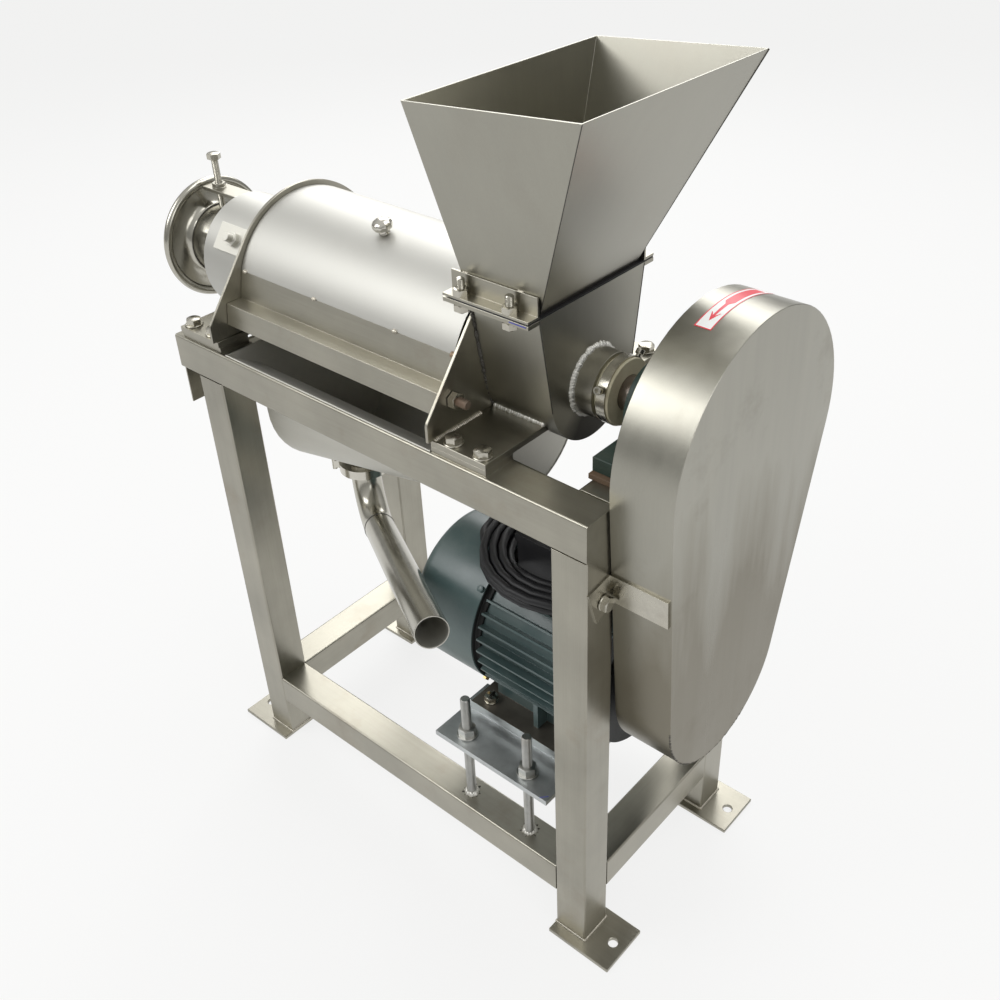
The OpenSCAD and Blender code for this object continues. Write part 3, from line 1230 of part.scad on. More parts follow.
// Juice spout
clamp_drop = 11;
clamp_z = frame_h - basin_depth_low - clamp_drop;
clamp_h = 14;
ferrule_t = 3.5;
ferrule_gap = 0.3;
clamp_lip_r = 26;
clamp_lip_t = 2.8;
ferrule_in = 17;
ferrule_top = frame_h - basin_depth_low + ferrule_in;
module spout_ferrule() color(bright) translate([spout_x, 0, clamp_z + ferrule_gap/2]) rotate_extrude()
  polygon([[spout_r - spout_t, 0], [ferrule_r, 0], [ferrule_r, ferrule_t], [spout_r, ferrule_t],
    [spout_r, ferrule_top - clamp_z], [spout_r - spout_t, ferrule_top - clamp_z]]);
lug_angle = 40;
lug_w = 16;
lug_out = 17;
lug_gap = 3;
wing_l = 26;
wing_t = 4;
hinge_out = 7;
hinge_w = 9;
hinge_pin_r = 4;
hinge_pin_over = 2;
module spout_clamp() color(bright) translate([spout_x, 0, clamp_z]) {
  inner_r = ferrule_r + ferrule_gap;
  h = clamp_h/2;
  rotate_extrude() polygon([[clamp_lip_r, -h], [clamp_r, -h], [clamp_r, h], [clamp_lip_r, h], [clamp_lip_r, h - clamp_lip_t],
    [inner_r, h - clamp_lip_t], [inner_r, clamp_lip_t - h], [clamp_lip_r, clamp_lip_t - h]]);
  rotate(lug_angle) {
    for (s = [-1, 1]) translate([clamp_r - 2*over, s*(lug_gap + lug_w/2)/2 - lug_w/4, over - h])
      cube([lug_out + 2*over, lug_w/2, 2*(h - over)]);
    translate([clamp_r + lug_out/2, -lug_w - lug_gap, 0]) rotate([-90, 0, 0]) cylinder(r = m10_r/2 + over, h = 2*lug_w + 2*lug_gap);
    translate([clamp_r + lug_out/2, lug_w/2 + lug_gap/2, 0]) rotate([-90, 0, 0]) {
      cylinder(r = m10_r + over, h = lug_w/2);
      translate([-wing_l/2, -wing_t/2, lug_w/4]) cube([wing_l, wing_t, lug_w/2]);
    }
    translate([-clamp_r - hinge_out, -hinge_w/2, over - h]) cube([hinge_out + 2*over, hinge_w, 2*(h - over)]);
    translate([-clamp_r - hinge_out, 0, -h - hinge_pin_over]) cylinder(r = hinge_pin_r, h = clamp_h + 2*hinge_pin_over);
  }
}
spout_neck = 9;
spout_turn = -31.4;
spout_bend_r = 62;
spout_top = [spout_x, 0, clamp_z - ferrule_gap/2];
spout_dir = [cos(spout_rise)*cos(spout_turn), cos(spout_rise)*sin(spout_turn), sin(spout_rise)];
spout_out = spout_bend_r*(1 + sin(spout_rise));
spout_tail_start = spout_top - [0, 0, spout_neck]
  + [spout_out*cos(spout_turn), spout_out*sin(spout_turn), -spout_bend_r*cos(spout_rise)];
module spout_pipe() color(bright) translate(spout_top) rotate(spout_turn) {
  r = spout_r - spout_t;
  rotate_extrude() polygon([[r, 0], [ferrule_r, 0], [ferrule_r, -ferrule_t], [spout_r, -ferrule_t], [spout_r, -spout_neck],
    [r, -spout_neck]]);
  translate([0, 0, -spout_neck]) translate([spout_bend_r, 0, 0]) rotate([0, 180, 0]) rotate([90, 0, 0])
    rotate_extrude(angle = 90 + spout_rise) translate([spout_bend_r, 0]) difference() {
      circle(r = spout_r);
      circle(r = r);
    }
}
module facing(dir) rotate([0, acos(dir[2]), atan2(dir[1], dir[0])]) children();
module spout_tail() color(bright) translate(spout_tail_start) facing(spout_dir) difference() {
  cylinder(r = spout_r, h = spout_run);
  translate([0, 0, -over]) cylinder(r = spout_r - spout_t, h = spout_run + 2*over);
}

foot_plates();
legs();
top_side_rails();
lower_side_rails();
cross_rails();
base_plates();
frame_bolts();
end_plate_outlet();
end_plate_feed();
tie_rods();
hood_shell();
hood_ledges();
hood_knob();
juice_basin();
screen_drum();
feed_screw();
drive_shaft();
feed_box();
lower_flanges();
upper_flanges();
flange_gasket();
flange_bolts();
hopper();
hub_pipe();
shaft_bush();
gland_collar();
collar_screws();
bearing_spacer();
pillow_block();
bearing_outer_ring();
bearing_balls();
bearing_inner_ring();
screw_pulley();
motor_pulley();
drive_belts();
motor_shaft();
motor_body();
motor_shields();
fan_cover();
cooling_fan();
terminal_box();
cable_gland();
cable_stretch();
cable_coil();
cable_plug();
motor_plate();
plate_studs();
motor_bolts();
guard_shell();
guard_straps();
outlet_sleeve();
lock_bracket();
lock_bolt();
side_lock();
outlet_horn();
residue_apron();
spout_ferrule();
spout_clamp();
spout_pipe();
spout_tail();
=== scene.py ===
# %% [markdown]
# # A small juice extractor in welded stainless steel
#
# The machine presses fruit with a screw inside a perforated drum. Its solids are already there,
# packed from CAD, and this lesson dresses them: edges are eased, threads and weld beads are added,
# and every surface gets a finish. It could all be modelled anew in Blender, but then it would no
# longer fit the joints of the part. So each piece is made around its CAD node, and nothing is moved
# or scaled.

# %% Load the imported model
import json
import math

import bmesh
import bpy
from mathutils import Matrix, Vector


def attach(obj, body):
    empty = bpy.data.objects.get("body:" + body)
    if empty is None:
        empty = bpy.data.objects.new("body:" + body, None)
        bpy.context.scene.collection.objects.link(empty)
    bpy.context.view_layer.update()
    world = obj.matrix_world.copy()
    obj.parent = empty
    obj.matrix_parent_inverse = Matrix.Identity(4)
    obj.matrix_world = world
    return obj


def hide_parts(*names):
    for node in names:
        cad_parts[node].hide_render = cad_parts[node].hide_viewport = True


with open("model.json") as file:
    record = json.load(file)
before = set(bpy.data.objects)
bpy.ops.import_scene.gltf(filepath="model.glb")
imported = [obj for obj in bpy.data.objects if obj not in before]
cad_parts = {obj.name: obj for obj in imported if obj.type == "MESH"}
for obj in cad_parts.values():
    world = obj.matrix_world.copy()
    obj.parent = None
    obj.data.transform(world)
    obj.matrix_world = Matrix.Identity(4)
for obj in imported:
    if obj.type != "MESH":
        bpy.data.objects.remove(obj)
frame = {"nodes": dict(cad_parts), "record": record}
nodes = frame["nodes"]
scene = bpy.context.scene
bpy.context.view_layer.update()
body_of = {n: b for b, members in frame["record"]["behaviour"]["bodies"].items() for n in members}
MM = 0.001

# %% [markdown]
# ## Camera
#
# The machine is seen from above, from a place out beyond the near side and the belt guard's end. A
# camera could be set by eye. Here its place, turn and focal length were fitted to points read on
# the frame, because then an edge can be compared with the photograph in pixels. The photograph's
# middle isn't on the lens axis, so the lens is shifted by a few hundredths of the frame.

# %% Camera
azimuth, elevation, roll = (math.radians(a) for a in (40.68, 34.73, -1.46))
back = Vector((math.sin(azimuth) * math.cos(elevation), -math.cos(azimuth) * math.cos(elevation),
               math.sin(elevation)))
right = (-back).cross(Vector((0, 0, 1))).normalized()
up = right.cross(-back)
across = right * math.cos(roll) + up * math.sin(roll)
upright = up * math.cos(roll) - right * math.sin(roll)

picture_px, focal_px, middle_x_px, middle_y_px = 1000, 1131.8, 536.2, 484.2
sensor_mm = 36
lens = bpy.data.cameras.new("photo_view")
lens.sensor_width = sensor_mm
lens.lens = focal_px * sensor_mm / picture_px
lens.shift_x = (picture_px / 2 - middle_x_px) / picture_px
lens.shift_y = (middle_y_px - picture_px / 2) / picture_px
lens.clip_start, lens.clip_end = 0.05, 60
camera = bpy.data.objects.new("photo_view", lens)
scene.collection.objects.link(camera)
turn = Matrix((across, upright, back)).transposed()
camera.matrix_world = Matrix.Translation((0.9013, -0.9078, 1.4214)) @ turn.to_4x4()
scene.camera = camera
print("camera at", tuple(round(v, 3) for v in camera.location))

# %% [markdown]
# ## Floor, air and light
#
# The machine was photographed on plain white, and brushed steel shows what stands round it more
# than its own colour. Stronger lamps could whiten the background, but they would bleach the steel
# too. So the floor is a very wide pale disc with an even tone of its own, and the air is brighter
# overhead than at the horizon, which gives the steel its slow gradients. Four wide lamps do the
# rest.

# %% Studio
def mesh_object(name, points, faces):
    """A new object with this mesh, in the scene, at the origin."""
    mesh = bpy.data.meshes.new(name)
    mesh.from_pydata([tuple(p) for p in points], [], [tuple(f) for f in faces])
    mesh.update()
    piece = bpy.data.objects.new(name, mesh)
    scene.collection.objects.link(piece)
    return piece


sides = 96
floor = mesh_object(
    "studio_floor",
    [(0, 0, 0)] + [(r * math.cos(2 * math.pi * k / sides), r * math.sin(2 * math.pi * k / sides), 0)
                   for r in (2, 14) for k in range(sides)],
    [(0, 1 + k, 1 + (k + 1) % sides) for k in range(sides)]
    + [(1 + k, 1 + sides + k, 1 + sides + (k + 1) % sides, 1 + (k + 1) % sides) for k in range(sides)])
scene.view_settings.view_transform = "Standard"

world = bpy.data.worlds.new("studio_air")
scene.world = world
world.use_nodes = True
air = world.node_tree
air.nodes.clear()
ray = air.nodes.new("ShaderNodeTexCoord")
parts = air.nodes.new("ShaderNodeSeparateXYZ")
ramp = air.nodes.new("ShaderNodeValToRGB")
sky = air.nodes.new("ShaderNodeBackground")
out = air.nodes.new("ShaderNodeOutputWorld")
ramp.color_ramp.elements[0].position, ramp.color_ramp.elements[0].color = 0.0, (0.36, 0.36, 0.345, 1)
ramp.color_ramp.elements[1].position, ramp.color_ramp.elements[1].color = 0.8, (0.95, 0.95, 0.94, 1)
air.links.new(ray.outputs["Generated"], parts.inputs[0])
air.links.new(parts.outputs["Z"], ramp.inputs[0])
air.links.new(ramp.outputs[0], sky.inputs["Color"])
air.links.new(sky.outputs[0], out.inputs[0])
sky.inputs["Strength"].default_value = 0.8


def soft_lamp(name, direction, distance, size, power):
    """A square lamp that looks at the machine's middle."""
    lamp = bpy.data.lights.new(name, "AREA")
    lamp.shape, lamp.size, lamp.energy = "SQUARE", size, power
    holder = bpy.data.objects.new(name, lamp)
    scene.collection.objects.link(holder)
    away = Vector(direction).normalized()
    holder.location = Vector((0, 0, 0.6)) + away * distance
    holder.rotation_mode = "QUATERNION"
    holder.rotation_quaternion = away.to_track_quat("Z", "Y")


soft_lamp("lamp_left", (-0.50, -0.62, 0.66), 2.6, 1.3, 25)
soft_lamp("lamp_top", (0.15, 0.35, 1.0), 2.6, 1.8, 26)
soft_lamp("lamp_right", (0.95, -0.25, 0.45), 3.0, 1.4, 13)
soft_lamp("lamp_back", (-0.54, 0.62, 0.57), 3.4, 2.4, 62)
print(len(bpy.data.lights), "lamps, floor of", sides, "sides")

# %% [markdown]
# ## Finishes
#
# A few things make most of the real finishes: lines and clouds on metal, dust and chips on a coat.
# Each material could repeat their nodes. Two shared groups hold them instead, so that a change is
# made in one place, and each material puts its own values in and keeps the shader itself. These
# short helpers set a group up and join its nodes.

# %% Shader helpers
def new_group(name, sockets_in, sockets_out):
    """An empty shader group with named inputs (name, type, default) and outputs (name, type)."""
    group = bpy.data.node_groups.new(name, "ShaderNodeTree")
    for label, kind, value in sockets_in:
        socket = group.interface.new_socket(label, in_out="INPUT", socket_type="NodeSocket" + kind)
        socket.default_value = value
    for label, kind in sockets_out:
        group.interface.new_socket(label, in_out="OUTPUT", socket_type="NodeSocket" + kind)
    return group, group.nodes.new("NodeGroupInput"), group.nodes.new("NodeGroupOutput")


def add(tree, kind, links=None, **values):
    """A node of that kind, with values set and inputs joined to given outputs."""
    node = tree.nodes.new(kind)
    for key, value in values.items():
        setattr(node, key, value)
    for key, source in (links or {}).items():
        socket = node.inputs[key]
        if isinstance(source, bpy.types.NodeSocket):
            tree.links.new(source, socket)
        else:
            socket.default_value = source
    return node


def maths(tree, operation, a, b=0.0, c=0.0):
    return add(tree, "ShaderNodeMath", {0: a, 1: b, 2: c}, operation=operation).outputs[0]


def mixed(tree, factor, a, b, how="MIX"):
    node = tree.nodes.new("ShaderNodeMix")
    node.data_type, node.blend_type = "RGBA", how
    for socket, source in ((node.inputs[0], factor), (node.inputs[6], a), (node.inputs[7], b)):
        if isinstance(source, bpy.types.NodeSocket):
            tree.links.new(source, socket)
        else:
            socket.default_value = source
    return node.outputs[2]


def noise(tree, vector, scale, detail=3.0, rough=0.55):
    return add(tree, "ShaderNodeTexNoise", {"Vector": vector, "Scale": scale, "Detail": detail,
                                            "Roughness": rough}).outputs[0]


def spread(tree, value, low, high, new_low=0.0, new_high=1.0):
    node = add(tree, "ShaderNodeMapRange", {"Value": value, "From Min": low, "From Max": high,
                                            "To Min": new_low, "To Max": new_high})
    return node.outputs[0]

print("helpers ready")

# %% [markdown]
# ### Worked metal
#
# On the real steel an abrasive belt leaves fine lines in one direction, over slow clouds of
# handling and pickling. A darkening round a point goes over them: on the guard it is painted
# shade, its lower part darker and browner, and on the feed box a near-black patch low on its end.
# An image could be laid over it, but it brings its own light along and needs unwrapping. Noise on
# Object coordinates needs neither: drawn out along one direction it gives the lines, left even it
# gives the clouds, and the distance from a point gives the darkening.

# %% Worked metal
def worked_metal_group():
    tree, given, out = new_group(
        "worked_metal",
        [("Colour", "Color", (0.4, 0.4, 0.4, 1)), ("Stain", "Color", (0.2, 0.15, 0.1, 1)),
         ("Stretch", "Vector", (8, 900, 900)), ("Lines", "Float", 0.3), ("Clouds", "Float", 0.3),
         ("Cloud size", "Float", 6.0), ("Stains", "Float", 0.0), ("Rough", "Float", 0.35),
         ("Rough change", "Float", 0.12), ("Line depth", "Float", 0.05), ("Wave depth", "Float", 0.0),
         ("Cloud stretch", "Vector", (1, 1, 1)), ("Burn at", "Vector", (0, 0, -9)),
         ("Burn size", "Float", 0.06), ("Burn", "Float", 0.0)],
        [("Colour", "Color"), ("Roughness", "Float"), ("Normal", "Vector")])
    place = tree.nodes.new("ShaderNodeTexCoord").outputs["Object"]
    smeared = add(tree, "ShaderNodeVectorMath", {0: place, 1: given.outputs["Cloud stretch"]},
                  operation="MULTIPLY").outputs[0]
    drawn = add(tree, "ShaderNodeVectorMath", {0: place, 1: given.outputs["Stretch"]},
                operation="MULTIPLY").outputs[0]
    lines = noise(tree, drawn, 1.0, 4.0, 0.7)
    wide = add(tree, "ShaderNodeVectorMath", {0: drawn, 1: (0.09, 0.09, 0.09)},
               operation="MULTIPLY").outputs[0]
    bands = noise(tree, wide, 1.0, 2.0, 0.5)
    clouds = noise(tree, smeared, given.outputs["Cloud size"], 4.0, 0.55)
    waves = noise(tree, place, 5.0, 1.0, 0.4)
    both = maths(tree, "ADD", maths(tree, "MULTIPLY", lines, 0.6), maths(tree, "MULTIPLY", bands, 0.4))
    line_tone = maths(tree, "MULTIPLY_ADD", maths(tree, "SUBTRACT", both, 0.5), given.outputs["Lines"], 1.0)
    cloud_tone = maths(tree, "MULTIPLY_ADD", maths(tree, "SUBTRACT", clouds, 0.5), given.outputs["Clouds"],
                       1.0)
    tone = maths(tree, "MULTIPLY", line_tone, cloud_tone)
    grey = add(tree, "ShaderNodeCombineXYZ", {0: tone, 1: tone, 2: tone}).outputs[0]
    colour = mixed(tree, 1.0, given.outputs["Colour"], grey, "MULTIPLY")
    spots = spread(tree, noise(tree, place, 9.0, 5.0, 0.65), 0.56, 0.72)
    stain = maths(tree, "MULTIPLY", spots, given.outputs["Stains"])
    colour = mixed(tree, stain, colour, given.outputs["Stain"])
    # Darkening round a point: painted shade on the guard, a near-black patch on the feed box.
    away = add(tree, "ShaderNodeVectorMath", {0: place, 1: given.outputs["Burn at"]},
               operation="DISTANCE").outputs["Value"]
    close = maths(tree, "SUBTRACT",
                  maths(tree, "ADD", 1.0,
                        maths(tree, "MULTIPLY", maths(tree, "SUBTRACT", clouds, 0.5), 1.4)),
                  maths(tree, "DIVIDE", away, given.outputs["Burn size"]))
    darkening = maths(tree, "MULTIPLY", spread(tree, close, 0.0, 0.5), given.outputs["Burn"])
    colour = mixed(tree, darkening, colour, given.outputs["Stain"])
    change = maths(tree, "ADD", maths(tree, "SUBTRACT", clouds, 0.5), maths(tree, "SUBTRACT", both, 0.5))
    rough = maths(tree, "MULTIPLY_ADD", change, given.outputs["Rough change"], given.outputs["Rough"])
    height = maths(tree, "ADD", maths(tree, "MULTIPLY", both, given.outputs["Line depth"]),
                   maths(tree, "MULTIPLY", waves, given.outputs["Wave depth"]))
    bump = add(tree, "ShaderNodeBump", {"Height": height, "Strength": 1.0, "Distance": 0.001}).outputs[0]
    for socket, source in (("Colour", colour), ("Roughness", rough), ("Normal", bump)):
        tree.links.new(source, out.inputs[socket])
    return tree


worked_metal = worked_metal_group()
print("worked metal:", len(worked_metal.nodes), "nodes")

# %% [markdown]
# ### Painted coat
#
# A coat of paint is even, with dust, scuffs and small chips. The chips could be cut into the mesh,
# but they are so small that a mask on the colour does as well, and a faint bump gives the skin of
# the paint. Rubber, nylon and board use the same group, since they only differ in their values.

# %% Painted coat
def painted_group():
    tree, given, out = new_group(
        "painted_coat",
        [("Colour", "Color", (0.1, 0.15, 0.15, 1)), ("Dust", "Color", (0.3, 0.3, 0.28, 1)),
         ("Dust amount", "Float", 0.3), ("Chip", "Color", (0.3, 0.3, 0.3, 1)), ("Chips", "Float", 0.2),
         ("Rough", "Float", 0.45), ("Peel", "Float", 0.06)],
        [("Colour", "Color"), ("Roughness", "Float"), ("Normal", "Vector")])
    place = tree.nodes.new("ShaderNodeTexCoord").outputs["Object"]
    dust = spread(tree, noise(tree, place, 14.0, 5.0, 0.6), 0.42, 0.75)
    colour = mixed(tree, maths(tree, "MULTIPLY", dust, given.outputs["Dust amount"]),
                   given.outputs["Colour"], given.outputs["Dust"])
    tone = maths(tree, "MULTIPLY_ADD", maths(tree, "SUBTRACT", noise(tree, place, 5.0), 0.5), 0.35, 1.0)
    grey = add(tree, "ShaderNodeCombineXYZ", {0: tone, 1: tone, 2: tone}).outputs[0]
    colour = mixed(tree, 1.0, colour, grey, "MULTIPLY")
    chips = spread(tree, noise(tree, place, 160.0, 3.0, 0.7), 0.70, 0.76)
    colour = mixed(tree, maths(tree, "MULTIPLY", chips, given.outputs["Chips"]), colour,
                   given.outputs["Chip"])
    rough = maths(tree, "MULTIPLY_ADD", dust, 0.18, given.outputs["Rough"])
    peel = noise(tree, place, 420.0, 2.0, 0.5)
    height = maths(tree, "MULTIPLY", peel, given.outputs["Peel"])
    bump = add(tree, "ShaderNodeBump", {"Height": height, "Strength": 1.0, "Distance": 0.001}).outputs[0]
    for socket, source in (("Colour", colour), ("Roughness", rough), ("Normal", bump)):
        tree.links.new(source, out.inputs[socket])
    return tree


painted_coat = painted_group()
print("painted coat:", len(painted_coat.nodes), "nodes")

# %% [markdown]
# ### Sheet and tube
#
# The frame is brushed tube, the hopper, the guard and the feed box are plain sheet, and the cover
# is blasted. One steel could be turned on each piece with a Mapping node. Three materials, one for
# each direction in which the lines can run, are easier to read and to pick from. The guard is the
# cloudiest, with painted shade over its lower part, and the feed box has a near-black patch low on
# its end.

# %% Sheet and tube finishes
finishes = {}


def finish(name, group, metallic, shader=None, **sockets):
    """A material with one of the groups feeding its shader. In a socket's name _ stands for a space."""
    material = bpy.data.materials.new(name)
    material.use_nodes = True
    tree = material.node_tree
    shine = tree.nodes["Principled BSDF"]
    worked = tree.nodes.new("ShaderNodeGroup")
    worked.node_tree = group
    for key, value in sockets.items():
        worked.inputs[key.replace("_", " ")].default_value = value
    tree.links.new(worked.outputs["Colour"], shine.inputs["Base Color"])
    tree.links.new(worked.outputs["Roughness"], shine.inputs["Roughness"])
    tree.links.new(worked.outputs["Normal"], shine.inputs["Normal"])
    shine.inputs["Metallic"].default_value = metallic
    for key, value in (shader or {}).items():
        shine.inputs[key].default_value = value
    finishes[name] = material
    return material


SATIN = (0.345, 0.33, 0.28, 1)
BROWN = (0.19, 0.13, 0.075, 1)
NEAR_BLACK = (0.035, 0.032, 0.028, 1)
for axis, stretch_xyz in (("x", (14, 1100, 1100)), ("y", (1100, 14, 1100)), ("z", (1100, 1100, 14))):
    finish("satin_" + axis, worked_metal, 1.0,
           Colour=SATIN, Stain=BROWN, Stretch=stretch_xyz, Lines=0.42, Clouds=0.75, Cloud_size=7.0,
           Stains=0.22, Rough=0.34, Rough_change=0.18, Line_depth=0.035, Wave_depth=0.35)
finish("satin_pale", worked_metal, 0.85,
       Colour=(0.60, 0.59, 0.54, 1), Stain=BROWN, Stretch=(14, 700, 700), Lines=0.2, Clouds=0.25,
       Cloud_size=6.0, Stains=0.05, Rough=0.55, Rough_change=0.1, Line_depth=0.02, Wave_depth=0.2)
finish("sheet_z", worked_metal, 1.0,
       Colour=(0.345, 0.335, 0.29, 1), Stain=BROWN, Stretch=(700, 700, 9), Lines=0.22, Clouds=0.30,
       Cloud_size=4.0, Stains=0.05, Rough=0.36, Rough_change=0.12, Line_depth=0.03, Wave_depth=1.2)
# Its darkening round a low point is painted shade: the guard's lower part darker and browner.
finish("guard_sheet", worked_metal, 1.0,
       Colour=(0.36, 0.35, 0.305, 1), Stain=(0.15, 0.13, 0.09, 1), Stretch=(700, 700, 9), Lines=0.26,
       Clouds=0.55, Cloud_size=1.0, Cloud_stretch=(9, 16, 2.2), Stains=0.30, Rough=0.33, Rough_change=0.22,
       Line_depth=0.03, Wave_depth=1.6, Burn_at=(0.40, -0.02, 0.36), Burn_size=0.36, Burn=0.70)
# Its darkening paints a near-black patch low on the box's end, under the hub.
finish("box_sheet", worked_metal, 1.0,
       Colour=(0.36, 0.35, 0.305, 1), Stain=NEAR_BLACK, Stretch=(700, 700, 9), Lines=0.2, Clouds=0.30,
       Cloud_size=5.0, Stains=0.05, Rough=0.40, Rough_change=0.12, Line_depth=0.03, Wave_depth=0.8,
       Burn_at=(0.214, -0.004, 0.706), Burn_size=0.062, Burn=0.85)
finish("blasted", worked_metal, 1.0,
       Colour=(0.50, 0.495, 0.465, 1), Stain=BROWN, Stretch=(260, 260, 260), Lines=0.08, Clouds=0.16,
       Cloud_size=5.0, Stains=0.03, Rough=0.52, Rough_change=0.08, Line_depth=0.02, Wave_depth=0.3)
finish("polished", worked_metal, 1.0,
       Colour=(0.58, 0.56, 0.50, 1), Stain=BROWN, Stretch=(500, 500, 500), Lines=0.10, Clouds=0.25,
       Cloud_size=12.0, Stains=0.08, Rough=0.17, Rough_change=0.12, Line_depth=0.01, Wave_depth=0.2)
print(len(finishes), "finishes for sheet and tube")

# %% [markdown]
# ### Fasteners, welds and castings
#
# Small parts are brighter, rustier or rougher than the sheet they sit on, and each weld has a
# colour of its own. One bolt finish for all would do from afar. Close by, zinc, brass colour, rust
# and weld metal are told apart at once, so each is a material, made from the worked metal group
# with other values.

# %% Fastener and weld finishes
finish("turned_steel", worked_metal, 1.0,
       Colour=(0.46, 0.445, 0.39, 1), Stain=BROWN, Stretch=(900, 30, 30), Lines=0.25, Clouds=0.35,
       Cloud_size=10.0, Stains=0.15, Rough=0.21, Rough_change=0.14, Line_depth=0.02, Wave_depth=0.2)
finish("bolt_bright", worked_metal, 1.0,
       Colour=(0.48, 0.46, 0.40, 1), Stain=BROWN, Stretch=(600, 600, 600), Lines=0.2, Clouds=0.4,
       Cloud_size=60.0, Stains=0.25, Rough=0.24, Rough_change=0.2, Line_depth=0.02, Wave_depth=0.0)
finish("zinc", worked_metal, 1.0,
       Colour=(0.46, 0.46, 0.44, 1), Stain=(0.26, 0.19, 0.12, 1), Stretch=(500, 500, 500), Lines=0.2,
       Clouds=0.5, Cloud_size=50.0, Stains=0.3, Rough=0.34, Rough_change=0.2, Line_depth=0.03, Wave_depth=0.0)
finish("brassed", worked_metal, 1.0,
       Colour=(0.60, 0.44, 0.20, 1), Stain=BROWN, Stretch=(500, 500, 500), Lines=0.2, Clouds=0.4,
       Cloud_size=90.0, Stains=0.3, Rough=0.3, Rough_change=0.2, Line_depth=0.02, Wave_depth=0.0)
finish("rusty_steel", worked_metal, 0.7,
       Colour=(0.22, 0.17, 0.13, 1), Stain=(0.16, 0.065, 0.03, 1), Stretch=(300, 300, 300), Lines=0.4,
       Clouds=0.6, Cloud_size=60.0, Stains=0.8, Rough=0.5, Rough_change=0.2, Line_depth=0.05, Wave_depth=0.0)
finish("mild_plate", worked_metal, 0.9,
       Colour=(0.50, 0.52, 0.52, 1), Stain=(0.17, 0.17, 0.17, 1), Stretch=(90, 90, 90), Lines=0.5, Clouds=0.8,
       Cloud_size=18.0, Stains=0.5, Rough=0.44, Rough_change=0.3, Line_depth=0.06, Wave_depth=0.2)
finish("weld_metal", worked_metal, 1.0,
       Colour=(0.50, 0.47, 0.40, 1), Stain=(0.12, 0.08, 0.05, 1), Stretch=(400, 400, 400), Lines=0.5,
       Clouds=0.8, Cloud_size=90.0, Stains=0.55, Rough=0.34, Rough_change=0.3, Line_depth=0.10,
       Wave_depth=0.0)
finish("weld_white", worked_metal, 0.8,
       Colour=(0.74, 0.73, 0.68, 1), Stain=(0.25, 0.2, 0.15, 1), Stretch=(400, 400, 400), Lines=0.4,
       Clouds=0.6, Cloud_size=90.0, Stains=0.4, Rough=0.42, Rough_change=0.2, Line_depth=0.08, Wave_depth=0.0)
finish("weld_brown", worked_metal, 0.7,
       Colour=(0.30, 0.22, 0.15, 1), Stain=(0.12, 0.06, 0.03, 1), Stretch=(400, 400, 400), Lines=0.5,
       Clouds=0.8, Cloud_size=120.0, Stains=0.7, Rough=0.45, Rough_change=0.2, Line_depth=0.08,
       Wave_depth=0.0)
# Dark seam metal; the same finish paints the shade in the folded corners and the horn's grooves.
finish("dark_seam_and_shade", worked_metal, 0.6,
       Colour=(0.09, 0.085, 0.075, 1), Stain=NEAR_BLACK, Stretch=(300, 300, 300), Lines=0.4, Clouds=0.6,
       Cloud_size=60.0, Stains=0.5, Rough=0.5, Rough_change=0.1, Line_depth=0.05, Wave_depth=0.0)
finish("cast_grey", worked_metal, 0.8,
       Colour=(0.12, 0.12, 0.12, 1), Stain=(0.06, 0.05, 0.04, 1), Stretch=(350, 350, 350), Lines=0.4,
       Clouds=0.4, Cloud_size=20.0, Stains=0.3, Rough=0.55, Rough_change=0.15, Line_depth=0.3, Wave_depth=0.0)
print(len(finishes), "finishes so far")

# %% [markdown]
# ### Paint, rubber, nylon and board
#
# The motor is painted, the bearing block is green, and the belts and the cable are black rubber.
# They could be metals with a dull shader, but none of them shines as metal does, so they are coats
# with no metal in them. The motor's end shields get a near-black coat: painted shade, of the gap
# behind the fan cover. Two dark steels for the motor's feet and the shaft stand here as well. The
# label and the pen marks are plain colours, because a flat colour on its own shape stays sharp at
# any distance.

# %% Painted and moulded finishes
finish("motor_paint", painted_coat, 0.0,
       Colour=(0.068, 0.112, 0.113, 1), Dust=(0.17, 0.21, 0.20, 1), Dust_amount=0.5,
       Chip=(0.24, 0.24, 0.22, 1), Chips=0.25, Rough=0.34, Peel=0.10, shader={"Specular IOR Level": 0.7})
# Near black: painted shade of the gap behind the fan cover, where the shields stand.
finish("shield_painted_shade", painted_coat, 0.0,
       Colour=(0.010, 0.011, 0.010, 1), Dust=(0.04, 0.04, 0.04, 1), Dust_amount=0.3,
       Chip=(0.05, 0.05, 0.05, 1), Chips=0.0, Rough=0.6, Peel=0.1)
finish("foot_scale", worked_metal, 0.8,
       Colour=(0.17, 0.155, 0.13, 1), Stain=(0.07, 0.05, 0.035, 1), Stretch=(120, 120, 120), Lines=0.4,
       Clouds=0.8, Cloud_size=25.0, Stains=0.5, Rough=0.5, Rough_change=0.2, Line_depth=0.06, Wave_depth=0.1)
finish("shaft_brown", worked_metal, 1.0,
       Colour=(0.30, 0.26, 0.23, 1), Stain=(0.12, 0.08, 0.06, 1), Stretch=(900, 40, 40), Lines=0.3,
       Clouds=0.5, Cloud_size=30.0, Stains=0.4, Rough=0.3, Rough_change=0.2, Line_depth=0.03, Wave_depth=0.0)
finish("green_cast", painted_coat, 0.0,
       Colour=(0.016, 0.045, 0.035, 1), Dust=(0.10, 0.09, 0.07, 1), Dust_amount=0.35,
       Chip=(0.2, 0.12, 0.08, 1), Chips=0.5, Rough=0.45, Peel=0.3)
finish("black_rubber", painted_coat, 0.0,
       Colour=(0.009, 0.009, 0.011, 1), Dust=(0.05, 0.05, 0.055, 1), Dust_amount=0.15,
       Chip=(0.05, 0.05, 0.05, 1), Chips=0.0, Rough=0.50, Peel=0.08)
